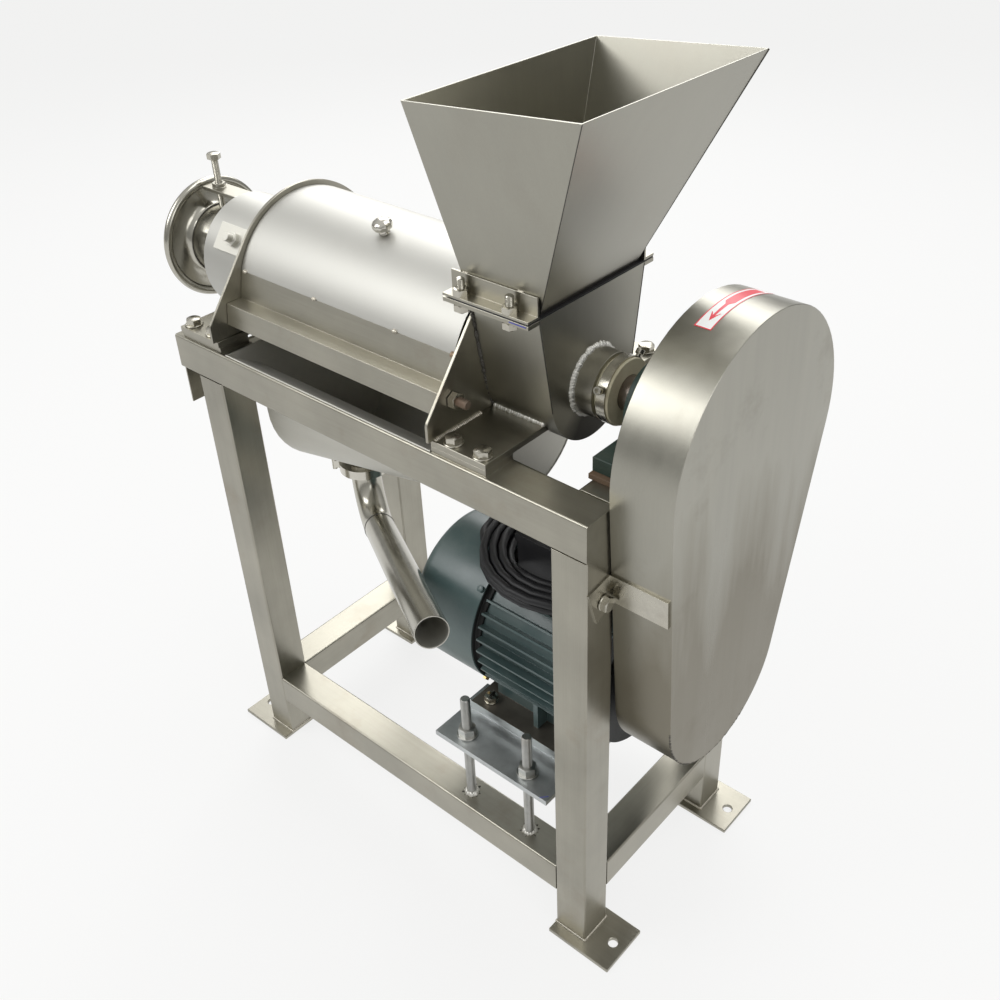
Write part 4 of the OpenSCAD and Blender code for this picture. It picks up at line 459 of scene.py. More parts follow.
finish("black_moulded", painted_coat, 0.0,
       Colour=(0.02, 0.02, 0.022, 1), Dust=(0.1, 0.1, 0.1, 1), Dust_amount=0.15, Chip=(0.05, 0.05, 0.05, 1),
       Chips=0.0, Rough=0.42, Peel=0.15)
finish("nylon", painted_coat, 0.0,
       Colour=(0.60, 0.56, 0.40, 1), Dust=(0.20, 0.13, 0.06, 1), Dust_amount=0.45, Chip=(0.2, 0.15, 0.1, 1),
       Chips=0.1, Rough=0.5, Peel=0.05)
finish("brown_board", painted_coat, 0.0,
       Colour=(0.13, 0.085, 0.055, 1), Dust=(0.25, 0.16, 0.08, 1), Dust_amount=0.5, Chip=(0.3, 0.2, 0.1, 1),
       Chips=0.3, Rough=0.6, Peel=0.2)
for name, colour in (("label_white", (0.86, 0.86, 0.85, 1)), ("label_red", (0.74, 0.035, 0.06, 1)),
                     ("pen_blue", (0.08, 0.09, 0.42, 1))):
    finish(name, painted_coat, 0.0,
           Colour=colour, Dust=(0.6, 0.6, 0.58, 1), Dust_amount=0.05, Chip=(0.5, 0.5, 0.5, 1), Chips=0.0,
           Rough=0.32, Peel=0.0)
print(len(finishes), "finishes in all")

# %% [markdown]
# ### Floor coat
#
# The floor is a backdrop and no part of the machine. A plain white coat could do, but it would go
# grey away from the lamps. This one asks which kind of ray arrives: the camera and shiny surfaces
# see an even tone with a weak shadow on it, and every other ray a duller coat.

# %% Floor coat
def floor_finish():
    """Even pale tone for the camera and in reflections, a weak shade under everything else."""
    material = bpy.data.materials.new("floor_coat")
    material.use_nodes = True
    tree = material.node_tree
    shine = tree.nodes["Principled BSDF"]
    path = tree.nodes.new("ShaderNodeLightPath").outputs
    seen = maths(tree, "ADD", maths(tree, "ADD", path["Is Camera Ray"], path["Is Glossy Ray"]),
                 path["Is Transmission Ray"])
    tree.links.new(mixed(tree, seen, (0.62, 0.62, 0.61, 1), (0.11, 0.11, 0.11, 1)),
                   shine.inputs["Base Color"])
    tree.links.new(mixed(tree, seen, (0, 0, 0, 1), (0.81, 0.81, 0.805, 1)), shine.inputs["Emission Color"])
    shine.inputs["Emission Strength"].default_value = 1.0
    shine.inputs["Roughness"].default_value = 0.9
    shine.inputs["Specular IOR Level"].default_value = 0.0
    return material


floor.data.materials.append(floor_finish())
print("floor coated")

# %% [markdown]
# ## Eased edges
#
# No edge on a real machine is perfectly sharp: a thin line along each edge catches the light. A
# Bevel modifier could do it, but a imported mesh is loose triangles, and a bevel needs edges that two
# faces share. So a copy is merged, its flat triangles are joined again, and its sharp edges get a
# small bevel. The long outer edges of the square tubes get a wider one, as a folded tube has.


def dress(piece, node, material=None):
    """The piece takes over from that CAD node, on the same body."""
    if material:
        piece.data.materials.clear()
        piece.data.materials.append(finishes[material])
    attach(piece, body_of[node])
    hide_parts(node)
    return piece


def shade_by_angle(mesh, degrees):
    """Smooth shading, but sharp where two faces meet at more than this angle."""
    bm = bmesh.new()
    bm.from_mesh(mesh)
    for face in bm.faces:
        face.smooth = True
    for edge in bm.edges:
        edge.smooth = len(edge.link_faces) == 2 and edge.calc_face_angle(0) < math.radians(degrees)
    bm.to_mesh(mesh)
    bm.free()


def eased(node, material, edge=0.6, wide=0.0, pick=None, join=True):
    """A copy of a CAD node with eased edges. Edges that pick() chooses get the wide bevel. Millimetres."""
    piece = bpy.data.objects.new(node + "_eased", nodes[node].data.copy())
    scene.collection.objects.link(piece)
    bm = bmesh.new()
    bm.from_mesh(piece.data)
    bmesh.ops.remove_doubles(bm, verts=bm.verts, dist=2e-6)
    if join:
        bmesh.ops.dissolve_limit(bm, angle_limit=math.radians(0.4), verts=bm.verts, edges=bm.edges)
    sharp = [e for e in bm.edges if len(e.link_faces) == 2 and e.calc_face_angle(0) > math.radians(28)]
    broad = [e for e in sharp if pick and pick(e)]
    if broad:
        bmesh.ops.bevel(bm, geom=broad, offset=wide * MM, segments=4, profile=0.5, affect="EDGES",
                        clamp_overlap=True)
        sharp = [e for e in bm.edges if len(e.link_faces) == 2 and e.calc_face_angle(0) > math.radians(28)]
    if edge:
        bmesh.ops.bevel(bm, geom=sharp, offset=edge * MM, segments=1, affect="EDGES", clamp_overlap=True)
    bm.to_mesh(piece.data)
    bm.free()
    shade_by_angle(piece.data, 30)
    if broad:
        weighted = piece.modifiers.new("flat faces stay flat", "WEIGHTED_NORMAL")
        weighted.keep_sharp = True
    return dress(piece, node, material)


def near(value, places):
    return any(abs(abs(value) - p * MM) < 2e-4 for p in places)


def tube_edge(first, places_1, second, places_2):
    """Chooses the long outer edges of a square tube by the places of its four corners."""
    def chosen(e):
        a, b = e.verts[0].co, e.verts[1].co
        return (e.calc_length() > 0.06 and all(near(v[first], places_1) and near(v[second], places_2)
                                               for v in (a, b)))
    return chosen

# %% [markdown]
# ### The frame
#
# Legs and rails are square tube, round along its edges, and the plates are cut flat. The rounding
# could be part of the CAD, but there it would cost faces in every solid and every check. Here the
# places of a tube's four corners pick out its long outer edges for the wide bevel, and every other
# edge gets the narrow one.

# %% Square-tube frame
eased("legs", "satin_z", 0.5, 3.0, tube_edge(0, (335, 285), 1, (171, 121)))
eased("top_side_rails", "satin_x", 0.5, 3.0, tube_edge(1, (171, 121), 2, (672, 722)))
eased("lower_side_rails", "satin_x", 0.5, 3.0, tube_edge(1, (171, 121), 2, (77, 127)))
eased("cross_rails", "satin_y", 0.5, 3.0, tube_edge(0, (335, 285), 2, (77, 127, 640, 690, 672, 722)))
eased("foot_plates", "satin_x", 0.8)
eased("base_plates", "satin_x", 0.8)
eased("end_plate_outlet", "satin_z", 0.5)
eased("end_plate_feed", "satin_z", 0.5)
eased("residue_apron", "satin_y", 0.3)
print("frame dressed")

# %% [markdown]
# ### Everything else that keeps its CAD shape
#
# Most other pieces are right as they come, and need only a finish and a slightly broken edge. Each
# could have code of its own, but the steps are always the same. So a table has one row for each
# node: its finish, and how far its edges are eased in millimetres. Nought leaves the edges of a
# round piece, or of the drum with its many holes, as they are.

# %% Plain copies of the rest
for name, material, edge in (
        ("hood_ledges", "satin_x", 0.25), ("juice_basin", "satin_pale", 0.25),
        ("screen_drum", "bolt_bright", 0.0), ("drive_shaft", "shaft_brown", 0.4),
        ("feed_box", "box_sheet", 0.5), ("lower_flanges", "satin_x", 0.6),
        ("upper_flanges", "satin_x", 0.6), ("flange_gasket", "black_rubber", 0.3),
        ("hopper", "sheet_z", 0.3), ("hub_pipe", "satin_z", 0.5), ("shaft_bush", "nylon", 0.4),
        ("gland_collar", "bolt_bright", 0.4), ("bearing_spacer", "brown_board", 0.4),
        ("pillow_block", "green_cast", 1.5), ("bearing_outer_ring", "bolt_bright", 0.3),
        ("bearing_inner_ring", "bolt_bright", 0.3), ("screw_pulley", "cast_grey", 0.5),
        ("motor_pulley", "cast_grey", 0.5), ("motor_shaft", "bolt_bright", 0.3),
        # The motor's shields are near black: painted shade of the gap behind the fan cover.
        ("motor_plate", "mild_plate", 0.6), ("motor_shields", "shield_painted_shade", 0.8),
        ("fan_cover", "motor_paint", 0.5), ("cooling_fan", "black_moulded", 0.5),
        ("terminal_box", "black_moulded", 1.2), ("cable_gland", "black_moulded", 0.4),
        ("guard_shell", "guard_sheet", 0.8), ("guard_straps", "bolt_bright", 0.8),
        ("outlet_sleeve", "blasted", 0.8), ("lock_bracket", "satin_x", 0.6),
        ("side_lock", "satin_pale", 0.6), ("spout_clamp", "polished", 0.6),
        ("spout_ferrule", "polished", 0.3), ("hood_shell", "blasted", 0.2),
        ("outlet_horn", "turned_steel", 0.0), ("spout_pipe", "turned_steel", 0.0)):
    eased(name, material, edge)
print("rest eased")

# %% [markdown]
# ### A second finish on some faces
#
# The motor's feet are bare scaled plate under painted fins, and the inside of the spout's tail is
# paler. The mesh could be cut in two, but that would leave it open. A second material on the chosen
# faces keeps it whole. They are chosen by height, or by whether they look towards the tail's axis.
# Four more nodes keep their CAD mesh and only get a finish.

# %% Second finishes
def another_finish(piece, material, chooses):
    """Faces that chooses(face) picks get this finish too."""
    piece.data.materials.append(finishes[material])
    for face in piece.data.polygons:
        if chooses(face):
            face.material_index = len(piece.data.materials) - 1
    return piece


motor_body = eased("motor_body", "motor_paint", 0.4)
another_finish(motor_body, "mild_plate", lambda face: face.center.z < 0.2725)
another_finish(motor_body, "foot_scale", lambda face: 0.262 < face.center.z < 0.2725 and face.normal.z > 0.5)
tail_start, tail_dir = Vector((-0.011795, -0.125258, 0.453898)), Vector((0.833318, -0.50866, 0.21644))


def inside_tail(face):
    out_of_axis = (face.center - tail_start) - tail_dir * (face.center - tail_start).dot(tail_dir)
    return face.normal.dot(out_of_axis) < 0


another_finish(eased("spout_tail", "turned_steel", 0.3), "satin_pale", inside_tail)
for name, material in (("feed_screw", "polished"), ("bearing_balls", "bolt_bright"),
                       ("drive_belts", "black_rubber"), ("cable_plug", "black_moulded")):
    nodes[name].data.materials.clear()
    nodes[name].data.materials.append(finishes[material])
print("second finishes set")

# %% [markdown]
# ## Turned shapes, hexagons and threads
#
# Bolts, nuts, washers and the knob are turned or cut from hexagonal bar. A cylinder with six sides
# could stand for a nut, but it lacks the rounded chamfer where the flats meet the turned end. Here
# a shape is a list of rings, and the radius or the height of a ring may depend on the angle. So the
# same helper makes plain turned shapes, that chamfer, and a true thread.

# %% Turned shapes
def turned(profile, sides=32):
    """Points (mm) and faces about Z from (radius, height) pairs, bottom to top.

    Either may be a function of the angle.
    """
    points, rings = [], []
    for radius, height in profile:
        first = len(points)
        count = 1 if radius == 0 else sides
        for k in range(count):
            a = 2 * math.pi * k / sides
            r = radius(a) if callable(radius) else radius
            z = height(a) if callable(height) else height
            points.append((r * math.cos(a), r * math.sin(a), z))
        rings.append((first, count))
    faces = []
    for (low, n), (high, m) in zip(rings, rings[1:]):
        for k in range(sides):
            j = (k + 1) % sides
            if n == 1:
                faces.append((low, high + j, high + k))
            elif m == 1:
                faces.append((low + k, low + j, high))
            else:
                faces.append((low + k, low + j, high + j, high + k))
    return points, faces


def hexed(across, low, high, hole=0.0):
    """A hexagon head from one height to another, with the round chamfer on top. A corner points along X."""
    def flat(a):
        return across / 2 / math.cos(a % math.radians(60) - math.radians(30))
    def shoulder(a):
        return high - (flat(a) - 0.475 * across) * math.tan(math.radians(30))
    top = [(0.475 * across, high)]
    if hole:
        top += [(hole, high), (hole, high - 4), (0, high - 4)]
    else:
        top += [(0, high)]
    return turned([(0, low), (flat, low), (flat, shoulder)] + top, 24)


def threaded(radius, low, high, pitch=1.75, depth=0.55, sides=20):
    """A rod with a true thread: each ring's radius follows the turn of the helix. Its ends are chamfered."""
    steps = int((high - low) / pitch * 5)
    rings = []
    for i in range(steps + 1):
        z = low + (high - low) * i / steps
        end = radius - 1.3 + min(z - low, high - z)

        def crest(a, z=z, end=end):
            return min(end, radius - depth * (1 - abs(2 * ((z / pitch - a / (2 * math.pi)) % 1) - 1)))
        rings.append((crest, z))
    return turned([(0, low)] + rings + [(0, high)], sides)


def joined(*shapes):
    points, faces = [], []
    for more_points, more_faces in shapes:
        faces += [tuple(i + len(points) for i in f) for f in more_faces]
        points += more_points
    return points, faces


def washer(radius, low, high):
    return turned([(0, low), (radius - 0.4, low), (radius, low + 0.4), (radius, high - 0.4),
                   (radius - 0.4, high), (0, high)], 32)

print("a bolt head has", len(hexed(18, 0, 8)[1]), "faces")

# %% [markdown]
# ### Tubes, and a piece from a shape
#
# Fine seams, grooves and the strain relief are thin round runs along a line. A curve with a round
# bevel could make them, and has to be turned into a mesh afterwards. This tube is a mesh from the
# start, carries its ring along without twisting, and lets its radius follow a rule. The second
# helper makes a piece on a body out of any shape.

# %% Tubes and pieces
def tube(points, radius, sides=8):
    """A closed tube (mm) along a line. The radius may be a function of the place along it, from 0 to 1."""
    line = [Vector(p) for p in points]
    side = (line[1] - line[0]).orthogonal().normalized()
    rings = []
    for i, p in enumerate(line):
        ahead = (line[min(i + 1, len(line) - 1)] - line[max(i - 1, 0)]).normalized()
        side = (side - ahead * side.dot(ahead)).normalized()
        other = ahead.cross(side)
        r = radius(i / (len(line) - 1)) if callable(radius) else radius
        rings.append([tuple(p + r * (side * math.cos(2 * math.pi * k / sides)
                                     + other * math.sin(2 * math.pi * k / sides)))
                      for k in range(sides)])
    n = len(line)
    made = [q for ring in rings for q in ring] + [tuple(line[0]), tuple(line[-1])]
    faces = [(i * sides + k, i * sides + (k + 1) % sides,
              (i + 1) * sides + (k + 1) % sides, (i + 1) * sides + k)
             for i in range(n - 1) for k in range(sides)]
    faces += [(n * sides, (k + 1) % sides, k) for k in range(sides)]
    faces += [(n * sides + 1, (n - 1) * sides + k, (n - 1) * sides + (k + 1) % sides) for k in range(sides)]
    return made, faces


def shaped(name, shape, material, body, smooth=35):
    """A piece from points in millimetres and faces, on a body."""
    points, faces = shape
    piece = mesh_object(name, [(x * MM, y * MM, z * MM) for x, y, z in points], faces)
    shade_by_angle(piece.data, smooth)
    piece.data.materials.append(finishes[material])
    if body:
        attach(piece, body)
    return piece

print("tubes ready")

# %% [markdown]
# ## What repeats
#
# Bolts, studs and the ripples of a weld are all one thing set down many times. Linked copies would
# be quick, but the export drops instances. A small Geometry Nodes tree does it: it takes points
# that carry a turn, puts the item on each of them with a little change of size, makes the copies
# real and gives them their finish.

# %% Geometry Nodes tree
def set_on_points_tree():
    tree = bpy.data.node_groups.new("set_on_points", "GeometryNodeTree")
    for label, kind, value in (("Points", "Geometry", None), ("Item", "Object", None), ("Size", "Float", 1.0),
                               ("Size change", "Float", 0.0), ("Turn change", "Float", 0.0),
                               ("Seed", "Int", 1), ("Finish", "Material", None)):
        socket = tree.interface.new_socket(label, in_out="INPUT", socket_type="NodeSocket" + kind)
        if value is not None:
            socket.default_value = value
    tree.interface.new_socket("Made", in_out="OUTPUT", socket_type="NodeSocketGeometry")
    given, out = tree.nodes.new("NodeGroupInput").outputs, tree.nodes.new("NodeGroupOutput")
    turn = add(tree, "GeometryNodeInputNamedAttribute", {"Name": "turned"},
               data_type="FLOAT_VECTOR").outputs["Attribute"]
    facing = add(tree, "FunctionNodeEulerToRotation", {"Euler": turn}).outputs[0]
    any_turn = add(tree, "FunctionNodeRandomValue", {2: -1.0, 3: 1.0, "Seed": given["Seed"]}).outputs[1]
    spin = add(tree, "FunctionNodeAxisAngleToRotation",
               {"Axis": (0, 0, 1), "Angle": maths(tree, "MULTIPLY", any_turn, given["Turn change"])})
    facing = add(tree, "FunctionNodeRotateRotation", {"Rotation": facing, "Rotate By": spin.outputs[0]},
                 rotation_space="LOCAL").outputs[0]
    any_size = add(tree, "FunctionNodeRandomValue",
                   {2: -1.0, 3: 1.0, "Seed": maths(tree, "ADD", given["Seed"], 7.0)}).outputs[1]
    size = maths(tree, "MULTIPLY", given["Size"],
                 maths(tree, "MULTIPLY_ADD", any_size, given["Size change"], 1.0))
    item = add(tree, "GeometryNodeObjectInfo", {"Object": given["Item"]}).outputs["Geometry"]
    copies = add(tree, "GeometryNodeInstanceOnPoints", {"Points": given["Points"], "Instance": item,
                                                        "Rotation": facing, "Scale": size})
    real = add(tree, "GeometryNodeRealizeInstances", {"Geometry": copies.outputs[0]})
    coated = add(tree, "GeometryNodeSetMaterial", {"Geometry": real.outputs[0], "Material": given["Finish"]})
    tree.links.new(coated.outputs[0], out.inputs[0])
    return tree


set_on_points = set_on_points_tree()
socket_of = {s.name: s.identifier for s in set_on_points.interface.items_tree if s.in_out == "INPUT"}

print("tree inputs:", ", ".join(socket_of))

# %% [markdown]
# ### Setting a shape down
#
# A bolt stands square to its plate, and a ripple lies across its seam. The tree could work these
# turns out, but a place with a direction up and one along is easier to give in the script. The
# points carry the turn as an attribute, the evaluated result becomes one plain mesh, and the item
# and the points are thrown away.

# %% Setting a shape down
def repeated(name, shape, spots, material, body, size=1.0, change=0.0, turn=0.0, seed=1, smooth=35):
    """The shape (mm) at every spot: a place (mm), the direction of its Z and a direction for its X."""
    item = shaped(name + "_item", shape, material, None, smooth)
    points = mesh_object(name + "_points", [Vector(place) * MM for place, _, _ in spots], [])
    turns = []
    for _, up_dir, along_dir in spots:
        z = Vector(up_dir).normalized()
        x = Vector(along_dir)
        x = (x - z * x.dot(z)).normalized()
        turns += list(Matrix((x, z.cross(x), z)).transposed().to_euler())
    points.data.attributes.new("turned", "FLOAT_VECTOR", "POINT").data.foreach_set("vector", turns)
    setter = points.modifiers.new("set_on_points", "NODES")
    setter.node_group = set_on_points
    for label, value in (("Item", item), ("Size", size), ("Size change", change), ("Turn change", turn),
                         ("Seed", seed), ("Finish", finishes[material])):
        setter[socket_of[label]] = value
    bpy.context.view_layer.update()
    made = bpy.data.meshes.new_from_object(points.evaluated_get(bpy.context.evaluated_depsgraph_get()))
    for used in (item, points):
        bpy.data.objects.remove(used)
    piece = bpy.data.objects.new(name, made)
    scene.collection.objects.link(piece)
    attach(piece, body)
    print(name, len(spots), "copies,", len(made.polygons), "faces")
    return piece


def taken_over(node, *made):
    """Hides the CAD node that the pieces replace. The pieces themselves are not used."""
    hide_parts(node)

print("ready to repeat")

# %% [markdown]
# ### Bolts of the frame
#
# M12 bolts hold the press and the bearing block to the frame, and two smaller ones hold the guard's
# straps. The plain rods and hexagons of the CAD could be kept, but a true thread, a washer and a
# chamfered head catch the light as the real ones do. So they are made here, at the places of the
# CAD. Most heads are turned a little, as a spanner leaves them.

# %% Frame bolts
UP, X = (0, 0, 1), (1, 0, 0)
SHAFT_Z, MOTOR_Z = 778, 372
PLATE_STUDS = [(x, y) for x in (109.5, 218.5) for y in (-146, 146)]
base_bolt = joined(threaded(6, -25, 0.5), washer(12, 0, 2.5), hexed(18, 2.5, 10))
long_bolt = joined(threaded(6, -33.8, 0.5), washer(12, 0, 2.5), hexed(18, 2.5, 10))
strap_bolt = joined(threaded(5, -8, 0.5), washer(10, 0, 2), hexed(17, 2, 9.8))
taken_over(
    "frame_bolts",
    repeated("base_bolts", base_bolt,
             [((x, y, 738), UP, X) for x in (-346, -302, 134, 178) for y in (-155, 155)],
             "bolt_bright", "frame", turn=0.5, seed=3),
    repeated("pillow_bolts", long_bolt, [((308, y, 746.8), UP, X) for y in (-68.5, 68.5)],
             "bolt_bright", "frame", turn=0.5, seed=4),
    repeated("strap_bolts", strap_bolt, [((337.5, y, 605), X, UP) for y in (-143.6, 143.6)],
             "bolt_bright", "frame"))

# %% [markdown]
# ### Tie rods and studs
#
# Rods are plain in the middle and threaded at the ends, and studs are threaded all along. A bump
# could stand for the thread, but it leaves the outline smooth, and these ends stand free. So the
# thread is real, and only where the real one is, which keeps the number of faces down.

# %% Rods and studs
rod = joined(threaded(6, 0, 17), turned([(0, 16), (6, 16), (6, 413), (0, 413)]), threaded(6, 412, 436))
rod_nuts = joined(hexed(18, 413, 422), turned([(0, 6.4), (8.6, 6.4), (9, 7), (9, 15.8), (0, 15.8)], 6))
taken_over(
    "tie_rods",
    repeated("tie_rod_pair", rod, [((-299, y, 776.7), X, UP) for y in (-131.5, 131.5)],
             "rusty_steel", "frame"),
    repeated("tie_rod_nuts", rod_nuts, [((-299, y, 776.7), X, UP) for y in (-131.5, 131.5)],
             "bolt_bright", "frame"))
flange_set = joined(threaded(5, 0, 41, 1.5, 0.5), hexed(16, 21, 29), hexed(16, 3, 11))
taken_over(
    "flange_bolts",
    repeated("flange_studs", flange_set,
             [((x, y, 873), UP, X) for x in (111, 181) for y in (-104.9, 104.9)],
             "bolt_bright", "frame", turn=0.0))
stud = joined(threaded(7, 0, 187, 2.0, 0.6), hexed(22, 98, 110))
taken_over(
    "plate_studs",
    repeated("plate_stud_set", stud, [((x, y, 127), UP, X) for x, y in PLATE_STUDS], "zinc", "frame"))

# %% [markdown]
# ### Fasteners of the motor
#
# Four nuts clamp the motor's plate from above, four bolts hold its feet, and four small screws the
# fan cover. The lower two of these kept their brass colour, the upper two were painted over. All
# four could be one set with two materials, but a set takes one finish, so each pair is a set.

# %% Motor fasteners
plate_nut = joined(washer(15, 0, 3), hexed(22, 3, 15))
foot_bolt = joined(threaded(5, -41, 0.5), washer(10, 0, 2.5), hexed(17, 2.5, 10.5), hexed(17, -41, -33))
slant, cover_ring = math.sqrt(0.5), 113


def cover_spots(side):
    """Both screws of the fan cover above (1) or below (-1) the motor's axis."""
    return [((89, sy * cover_ring * slant, MOTOR_Z + side * cover_ring * slant), (0, sy, side), X)
            for sy in (-1, 1)]


taken_over(
    "motor_bolts",
    repeated("plate_nuts", plate_nut, [((x, y, 245), UP, X) for x, y in PLATE_STUDS], "zinc", "motor_mount"),
    repeated("foot_bolts", foot_bolt, [((x, y, 270), UP, X) for x in (110, 250) for y in (-95, 95)],
             "bolt_bright", "motor_mount", turn=0.4),
    repeated("cover_screws", hexed(8.7, 0, 4), cover_spots(-1), "brassed", "motor_mount"),
    repeated("cover_screws_top", hexed(8.7, 0, 4), cover_spots(1), "motor_paint", "motor_mount"))

# %% [markdown]
# ### Small fasteners
#
# A long bolt locks the horn, three cap screws sit round the collar, and four screws close the
# terminal box. The cap screws could be plain pins, but one of them faces the camera, so their
# profile goes down into the head and leaves the socket open. The lid's screws are low hexagons.

# %% Small fasteners
taken_over(
    "lock_bolt",
    repeated("lock_bolt_set", joined(threaded(5, 0, 72.5, 1.5, 0.5), hexed(17, 72, 80)),
             [((-461, 0, 828.3), UP, X)], "bolt_bright", "lock_bolt_body"))
cap_screw = joined(turned([(0, 0), (3, 0), (3, 9), (0, 9)], 20),
                   turned([(0, 9), (4.6, 9), (5, 9.4), (5, 14.6), (4.5, 15), (2.6, 15), (2.6, 11.5),
                           (0, 11.5)], 24))
ring_angles = [math.radians(a) for a in (157, 285, 45)]
taken_over(
    "collar_screws",
    repeated("collar_screw_set", cap_screw,
             [((252, 36 * math.cos(a), SHAFT_Z + 36 * math.sin(a)), (0, math.cos(a), math.sin(a)), X)
              for a in ring_angles],
             "bolt_bright", "frame"))
repeated("terminal_screws", hexed(7, 0, 0.9), [((x, y, 542), UP, X) for x in (133, 207) for y in (-37, 37)],
         "bolt_bright", "motor_mount")

# %% [markdown]
# ### Knob
#
# The cover carries a turned knob whose rim has ten shallow lobes for the fingers. The hollows
# between them could be cut out with cylinders, but a cut leaves uneven faces on so small a shape. A
# radius that follows a cosine gives the lobes with clean rings, in the same helper as the nuts.

# %% Knob on the cover
def lobed(radius, share):
    return lambda a: radius * (1 - share * (0.5 + 0.5 * math.cos(10 * a)))


knob = turned([(0, 0), (7.4, 0), (6.2, 1.5), (6, 5.6), (8.5, 6.4), (lobed(12.2, 0.04), 7.2),
               (lobed(13, 0.07), 9.4), (lobed(13, 0.07), 12.4), (lobed(11.9, 0.04), 14.8),
               (9.2, 16.6), (6.0, 17.8), (2.6, 18.4), (0, 18.5)], 80)
tilt = math.radians(105)
taken_over(
    "hood_knob",
    repeated("cover_knob", knob,
             [((-85, 119.3 * math.cos(tilt), SHAFT_Z + 119.3 * math.sin(tilt)),
               (0, math.cos(tilt), math.sin(tilt)), X)],
             "polished", "hood", smooth=50))

# %% [markdown]
# ## Welds
#
# A hand-made weld is a row of overlapping ripples, each a little different. A tube with a bump on
# it would be lighter, but its outline would stay smooth. So one low ripple of a few dozen faces is
# set down again and again. Each path below is a list of corners; the ripples follow it at an even
# step, across the direction of travel.

# %% Weld helpers
ripple = turned([(0, -0.4), (1.0, -0.4), (0.92, 0.15), (0.62, 0.42), (0.3, 0.52), (0, 0.55)], 10)
ripple = ([(x * 0.75, y * 1.25, z) for x, y, z in ripple[0]], ripple[1])


def weld(name, paths, material, body, width=2.0, step=None, change=0.12, seed=5):
    """Ripples along each path: (corners in mm, direction away from the joint)."""
    step, spots = step or width * 0.55, []
    for corners, away in paths:
        line = [Vector(c) for c in corners]
        for a, b in zip(line, line[1:]):
            count = max(1, round((b - a).length / step))
            for i in range(count):
                place = a.lerp(b, (i + 0.5) / count)
                spots.append((place, away(place) if callable(away) else away, b - a))
    return repeated(name, ripple, spots, material, body, width, change, 0.25, seed, 60)


def ring(centre, axis, radius, steps=64, start=0, sweep=360):
    """Corners of an arc about X or Z."""
    made = []
    for k in range(steps + 1):
        a = math.radians(start + sweep * k / steps)
        c, s = radius * math.cos(a), radius * math.sin(a)
        made.append(Vector(centre) + Vector((0, c, s) if axis == "x" else (c, s, 0)))
    return made


def outwards(centre, lean):
    return lambda place: (place - Vector(centre)).normalized() + Vector(lean)

print("a ripple has", len(ripple[1]), "faces")

# %% [markdown]
# ### The beads themselves
#
# Bright beads hold the legs and the sleeve, pale ones run round the hub and along the feed box, and
# short tacks hold the cover. Dark lines stand where sheet meets sheet. They could all be one piece,
# but they differ in colour, size and evenness, so each is a set of its own.

# %% Weld beads
weld("foot_welds", [(((114.5, s * 87, 738.6), (114.5, s * 165, 738.6)), (1, 0, 1)) for s in (-1, 1)],
     "weld_metal", "frame", 2.5, 2.4, 0.25)
weld("box_foot_welds", [(((115, s * 65, 740), (191, s * 65, 740)), (0, s * 0.8, 0.6)) for s in (-1, 1)],
     "weld_white", "frame", 3.6, 3.3, 0.25)
weld("box_side_welds",
     [(((114, s * 66.5, 742), (114, s * 79, 790), (114, s * 87, 836), (114, s * 94.8, 882)), (1, s * 1.0, 0))
      for s in (-1, 1)],
     "dark_seam_and_shade", "frame", 2.0, 2.2, 0.5)
hub = (212, 0, SHAFT_Z)
weld("hub_weld", [(ring((213.2, 0, SHAFT_Z), "x", 42.2, 80), outwards(hub, (0.9, 0, 0)))], "weld_white",
     "frame", 4.4, 3.4, 0.3)
weld("collar_seam", [(ring((240.4, 0, SHAFT_Z), "x", 33.2, 64), outwards(hub, (0.6, 0, 0)))], "dark_seam_and_shade",
     "frame", 0.8)
weld("sleeve_weld", [(ring((-284, 0, SHAFT_Z), "x", 83.6, 90), outwards((-283, 0, SHAFT_Z), (-1, 0, 0)))],
     "weld_metal", "frame", 1.8)
weld("leg_welds",
     [(((sx * x1, sy * y1, 6.6), (sx * x2, sy * y2, 6.6)), (sx * nx, sy * ny, 0.8))
      for sx in (-1, 1) for sy in (-1, 1)
      for x1, y1, x2, y2, nx, ny in ((285, 171.6, 335, 171.6, 0, 1), (335.6, 171, 335.6, 121, 1, 0),
                                     (285, 120.4, 335, 120.4, 0, -1), (284.4, 121, 284.4, 171, -1, 0))],
     "weld_metal", "frame", 1.9)
weld("stud_splashes",
     [(ring((x, y, 127.4), "z", 8.4, 12), outwards((x, y, 124), (0, 0, 0.3))) for x, y in PLATE_STUDS],
     "weld_white", "frame", 3.6, 2.2, 0.5, 9)
weld("stud_spatter", [(ring((x, y, 127.1), "z", 13, 12), (0, 0, 1)) for x, y in PLATE_STUDS],
     "dark_seam_and_shade", "frame", 1.2, 5.5, 0.7, 2)
weld("hopper_tacks",
     [(((x, s * 94.2, 915.6), (x + 7, s * 94.2, 915.6)), (0, s, 1.2)) for x in (106, 184) for s in (-1, 1)],
     "weld_metal", "frame", 2.6, 1.6)
weld("bracket_weld", [(((-409, -13, 858), (-409, 13, 858)), (-1, 0, 1))], "weld_white", "frame", 2.6)
weld("strap_welds",
     [(((411, s * y1, z1), (411, s * y2, z2)), (0.2, s, 0))
      for s, y1, z1, y2, z2 in ((-1, 120.8, 637.4, 120.8, 597), (1, 129.3, 637, 129.3, 597))],
     "weld_metal", "frame", 1.7)
weld("guard_seam", [(ring((416.4, 2, 428), "x", 117.6, 60, 182, 120), outwards((416, 2, 428), (1, 0, 0)))],
     "dark_seam_and_shade", "frame", 0.9, 1.6, 0.5)
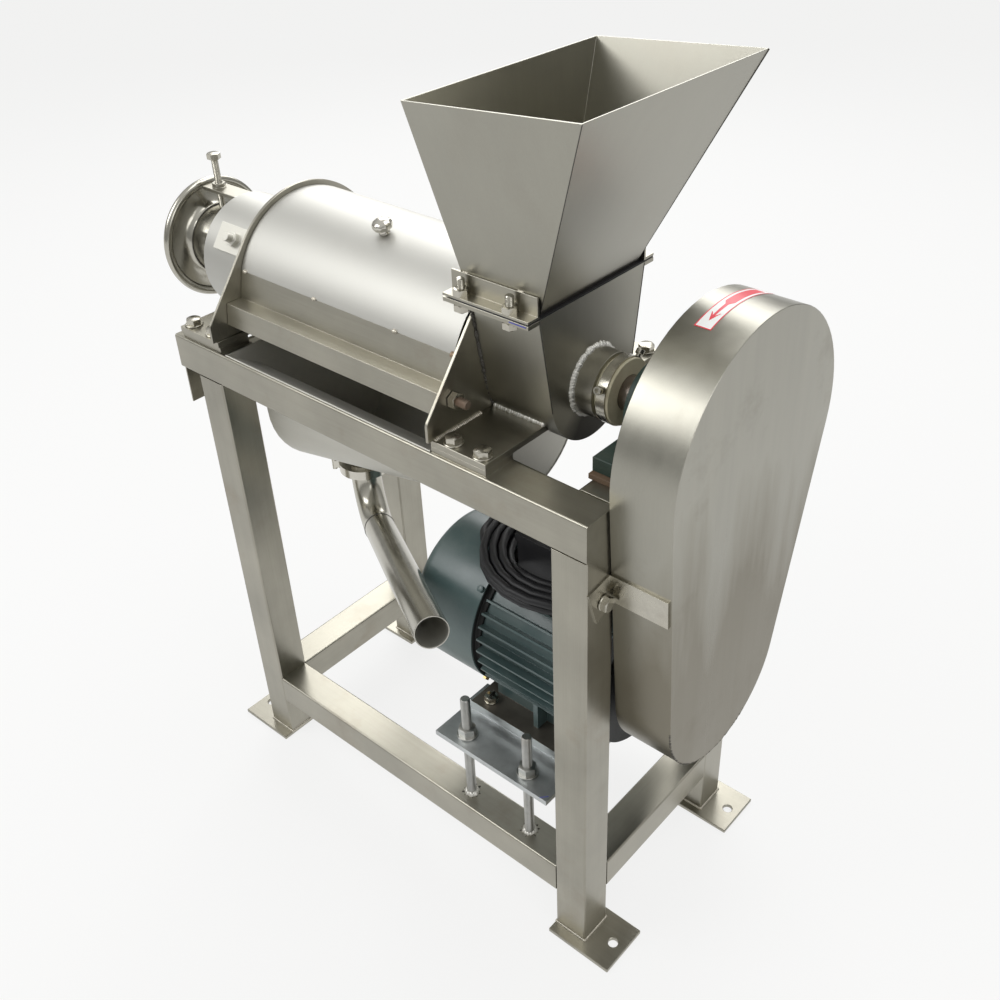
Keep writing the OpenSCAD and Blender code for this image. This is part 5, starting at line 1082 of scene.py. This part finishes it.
for s, tacks in ((-1, (-270, -136, 6)), (1, (-270, -136, 6, 100))):
    weld("cover_tacks_" + ("near" if s < 0 else "far"),
         [(((x - 3, s * 112.6, 820.6), (x + 3, s * 112.6, 820.6)), (0, s, 0.9)) for x in tacks],
         "weld_metal", "hood", 1.9, 1.2, 0.3)
weld("cover_tack_brown", [(((97, -112.6, 820.6), (104, -112.6, 820.6)), (0, -1, 0.9))], "weld_brown", "hood",
     2.6, 1.2, 0.3)

# %% [markdown]
# ### Dark seams, folded corners and grooves
#
# Thin dark lines mark the folded corners, two grooves in the horn and the joint of the spout. The
# corners and grooves could be cut into the meshes, but at about a millimetre only the shade in them
# is seen. So fine dark tubes are laid along them as painted shade, and the joint of the spout is a
# very fine bead.

# %% Dark seams, folded corners and the horn's grooves
# Fine dark tubes along the folded corners: painted shade.
for name, line in (("hopper_corner_near", [(207.1, -86.6, 892), (314.4, -153.9, 1126)]),
                   ("hopper_corner_far", [(207.1, 86.6, 892), (314.4, 153.9, 1126)])):
    shaped(name, tube(line, 0.55), "dark_seam_and_shade", "frame")
for s in (-1, 1):
    shaped("box_corner_" + ("near" if s < 0 else "far"),
           tube([(211.8, s * 94.3, 888), (211.8, s * 84.2, 826), (211.8, s * 74.3, 766)], 0.7), "dark_seam_and_shade",
           "frame")
# Dark rings in the horn's two grooves: painted shade.
for name, x, r in (("horn_groove_outer", -491.2, 76.2), ("horn_groove_inner", -479.2, 50.4)):
    shaped(name, tube(ring((x, 0, SHAFT_Z), "x", r, 96), 0.55), "dark_seam_and_shade", "horn")
joint = Vector((-152.6, -39.3, 417.3))
flat_dir = tail_dir.orthogonal().normalized()
side_dir = tail_dir.cross(flat_dir)
weld("spout_weld", [([joint + 22.7 * (flat_dir * math.cos(a) + side_dir * math.sin(a))
                      for a in (2 * math.pi * k / 48 for k in range(49))],
                     outwards(joint, (0, 0, 0)))], "dark_seam_and_shade", "spout", 0.8)
print("seams and grooves drawn")

# %% [markdown]
# ## Label and pen marks
#
# The guard's band carries a label with a plain red arrow, and there are two blue pen marks, on the
# motor plate and on a flange. An image could carry the arrow, but none is used.
# The arrow is cut from strips instead, each with two edges across the band, and wrapped round the
# top of the guard a fraction of a millimetre above the metal.

# %% Label
band_r = 165


def wrapped(name, strips, lift, material):
    """Strips of (from, to, edges at the start, edges at the end), in mm, wrapped on the guard's band."""
    points, faces = [], []
    for u0, u1, (a0, b0), (a1, b1) in strips:
        steps = max(1, math.ceil((u1 - u0) / 2.5))
        first = len(points)
        for i in range(steps + 1):
            k = i / steps
            angle = math.radians(109) - (u0 + (u1 - u0) * k) / band_r
            r = band_r + lift
            for v in (a0 + (a1 - a0) * k, b0 + (b1 - b0) * k):
                points.append((367 + v, 28.5 + r * math.cos(angle), 745 + r * math.sin(angle)))
        faces += [(first + 2 * i, first + 2 * i + 2, first + 2 * i + 3, first + 2 * i + 1)
                  for i in range(steps)]
    shaped(name, (points, faces), material, "frame", 60)


full = 132
wrapped("label_field", [(0, full, (-10, 10), (-10, 10))], 0.12, "label_white")
wrapped("label_border", [(0, full, (-10, -8.7), (-10, -8.7)), (0, full, (8.7, 10), (8.7, 10)),
                         (0, 1.5, (-8.7, 8.7), (-8.7, 8.7)),
                         (full - 1.5, full, (-8.7, 8.7), (-8.7, 8.7))], 0.2, "label_red")
wrapped("label_arrow", [(12, 22, (0, 0), (-3.6, 3.6)), (22, 27, (-3.6, -1.4), (-5.4, -4.6)),
                        (22, 27, (1.4, 3.6), (4.6, 5.4)),
                        (22, 46, (-1.4, 1.4), (-2.0, 2.0)), (46, 53, (-2.0, 2.0), (-5.8, 5.8)),
                        (53, 116, (-5.8, 5.8), (-5.8, 5.8))], 0.2, "label_red")
shaped("pen_mark_plate", tube([(258, -168.6, 245.1), (266, -160, 245.1)], 0.5), "pen_blue", "motor_mount")
shaped("pen_mark_flange", tube([(186, -112.6, 887.2), (209, -112.6, 887.2)], 0.7), "pen_blue", "frame")
print("label", full, "mm long, two pen marks")

# %% [markdown]
# ## Power cable
#
# The cable lies coiled on the motor, under the press. It could be drawn by eye, but a cord needs a
# known length, and it has to cover the CAD solids that it replaces. So its centre line repeats
# their route: from the gland out and down into the coil, a little over six turns in two layers, and
# on to the plug, which hangs on the motor's far side. First comes the coil.

# %% Coil
cable_d = 11 * MM
coil_centre, coil_low, coil_out, coil_in, turns = (170 * MM, 18 * MM), 491 * MM, 122 * MM, 86 * MM, 3
coil_pitch, coil_step, coil_start, coil_rise, coil_last = 12 * MM, 12 * MM, 215, 60, 65


def unit(v):
    return Vector(v).normalized()


def coil_point(t):
    half = 360 * turns
    if t < half:
        r = coil_out - coil_pitch * t / 360
    else:
        r = coil_in + coil_pitch * max(0, t - half - coil_rise) / 360
    u = max(0, min(1, (t - half) / coil_rise))
    a = math.radians(coil_start + t)
    return Vector((coil_centre[0] + r * math.cos(a), coil_centre[1] + r * math.sin(a),
                   coil_low + coil_step * u * u * (3 - 2 * u)))


coil_end = 2 * 360 * turns + coil_rise + coil_last
coil_steps = round(24 * coil_end / 360)
coil_run = [coil_point(coil_end * i / coil_steps) for i in range(coil_steps + 1)]
tangent_in = unit((math.sin(math.radians(coil_start)), -math.cos(math.radians(coil_start)), 0))
last = math.radians(coil_start + coil_end)
tangent_out = unit((-math.sin(last), math.cos(last), 0))
coil_path = [coil_run[0] + cable_d * tangent_in, *coil_run, coil_run[-1] + cable_d * tangent_out]

print("coil of", round(coil_end / 360, 2), "turns")

# %% [markdown]
# ### The free stretches
#
# Between the coil and its ends, a real cable bends as far as its stiffness lets it. A simulation
# could find that bend, but it would move with every other change. Smooth curves through given
# points give the same line each time, and meet the gland, the coil and the plug in the right
# direction.

# %% Free stretches
def stretch(a, ta, b, tb, k, steps=20):
    """A Bezier stretch that leaves a along ta and reaches b along tb."""
    p, s = Vector(a), Vector(b)
    q, r = p + k * MM * Vector(ta), s - k * MM * Vector(tb)
    return [p * (1 - u) ** 3 + q * 3 * u * (1 - u) ** 2 + r * 3 * u * u * (1 - u) + s * u ** 3
            for u in (i / steps for i in range(steps + 1))]


gland_end = Vector((0.170, 0.066, 0.520))
gland_out = gland_end + Vector((0, 0.011, 0))
plug_at = Vector((0.045, 0.138, 0.440))
mid_angle, mid_r = math.radians(20), coil_in + coil_pitch * (coil_end - 360 * turns - coil_rise) / 360
out_mid = Vector((coil_centre[0] + mid_r * math.cos(mid_angle), coil_centre[1] + mid_r * math.sin(mid_angle),
                  0.520))
out_mid_dir = unit((-math.sin(mid_angle), math.cos(mid_angle), 0))
in_mid, in_mid_dir = Vector((0.036, 0.054, 0.503)), unit((3, 20, 0.4))
in_low, in_low_dir = Vector((0.039, -0.012, 0.491)), unit((-1, 5, 0))
upper = (stretch(coil_path[-1], tangent_out, out_mid, out_mid_dir, 26)
         + stretch(out_mid, out_mid_dir, gland_out, (0, -1, 0), 50)[1:]
         + [gland_end + Vector((0, 0.00008, 0))])
lower = (stretch(coil_path[0], tangent_in, in_low, in_low_dir, 12)
         + stretch(in_low, in_low_dir, in_mid, in_mid_dir, 22)[1:]
         + stretch(in_mid, in_mid_dir, plug_at, (0, 0, -1), 48)[1:])
cable_line = upper[::-1] + coil_path[::-1][1:] + lower[1:]

# %% [markdown]
# ### The cable as one piece
#
# The cable is one black lead from end to end. A tube for the coil and one for each end could be
# joined, but their seams would show. One curve along the whole centre line, with a round bevel and
# closed ends, has none, and the same line gives the length.

# %% Cable
def round_cable(name, line, radius):
    data = bpy.data.curves.new(name, "CURVE")
    data.dimensions, data.bevel_depth, data.bevel_resolution, data.use_fill_caps = "3D", radius, 5, True
    run = data.splines.new("POLY")
    run.points.add(len(line) - 1)
    for point, place in zip(run.points, line):
        point.co = (*place, 1)
    run.use_smooth = True
    piece = bpy.data.objects.new(name, data)
    scene.collection.objects.link(piece)
    data.materials.append(finishes["black_rubber"])
    return piece


cable = round_cable("power_cable", cable_line, cable_d / 2)
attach(cable, body_of["cable_coil"])
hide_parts("cable_coil", "cable_stretch")
print("cable follows", len(cable_line), "points")

# %% [markdown]
# ### Strain relief
#
# Where the cable meets the plug, a ribbed sleeve keeps it from kinking and narrows away from the
# plug. It could be a straight turned piece, but the cable is already bending there. So the sleeve
# follows the cable's last centimetres, with every fourth ring drawn in for the ribs.

# %% Strain relief at the plug
relief_mm, relief_steps = 42, 40
relief_line, walked = [cable_line[-1] / MM], 0.0
for a, b in zip(cable_line[::-1], cable_line[-2::-1]):
    walked += (b - a).length / MM
    if walked > relief_mm:
        break
    relief_line.append(b / MM)
relief_last, smooth_line = len(relief_line) - 1, []
for i in range(relief_steps + 1):
    place = i * relief_last / relief_steps
    after = relief_line[min(relief_last, int(place) + 1)]
    smooth_line.append(relief_line[int(place)].lerp(after, place % 1))
relief = shaped(
    "plug_relief",
    tube(smooth_line, lambda k: 9.2 - 3.2 * k - (0.7 if int(k * relief_steps) % 4 == 3 else 0), 20),
    "black_moulded", "motor_mount")
print("strain relief over", round(walked, 1), "mm")
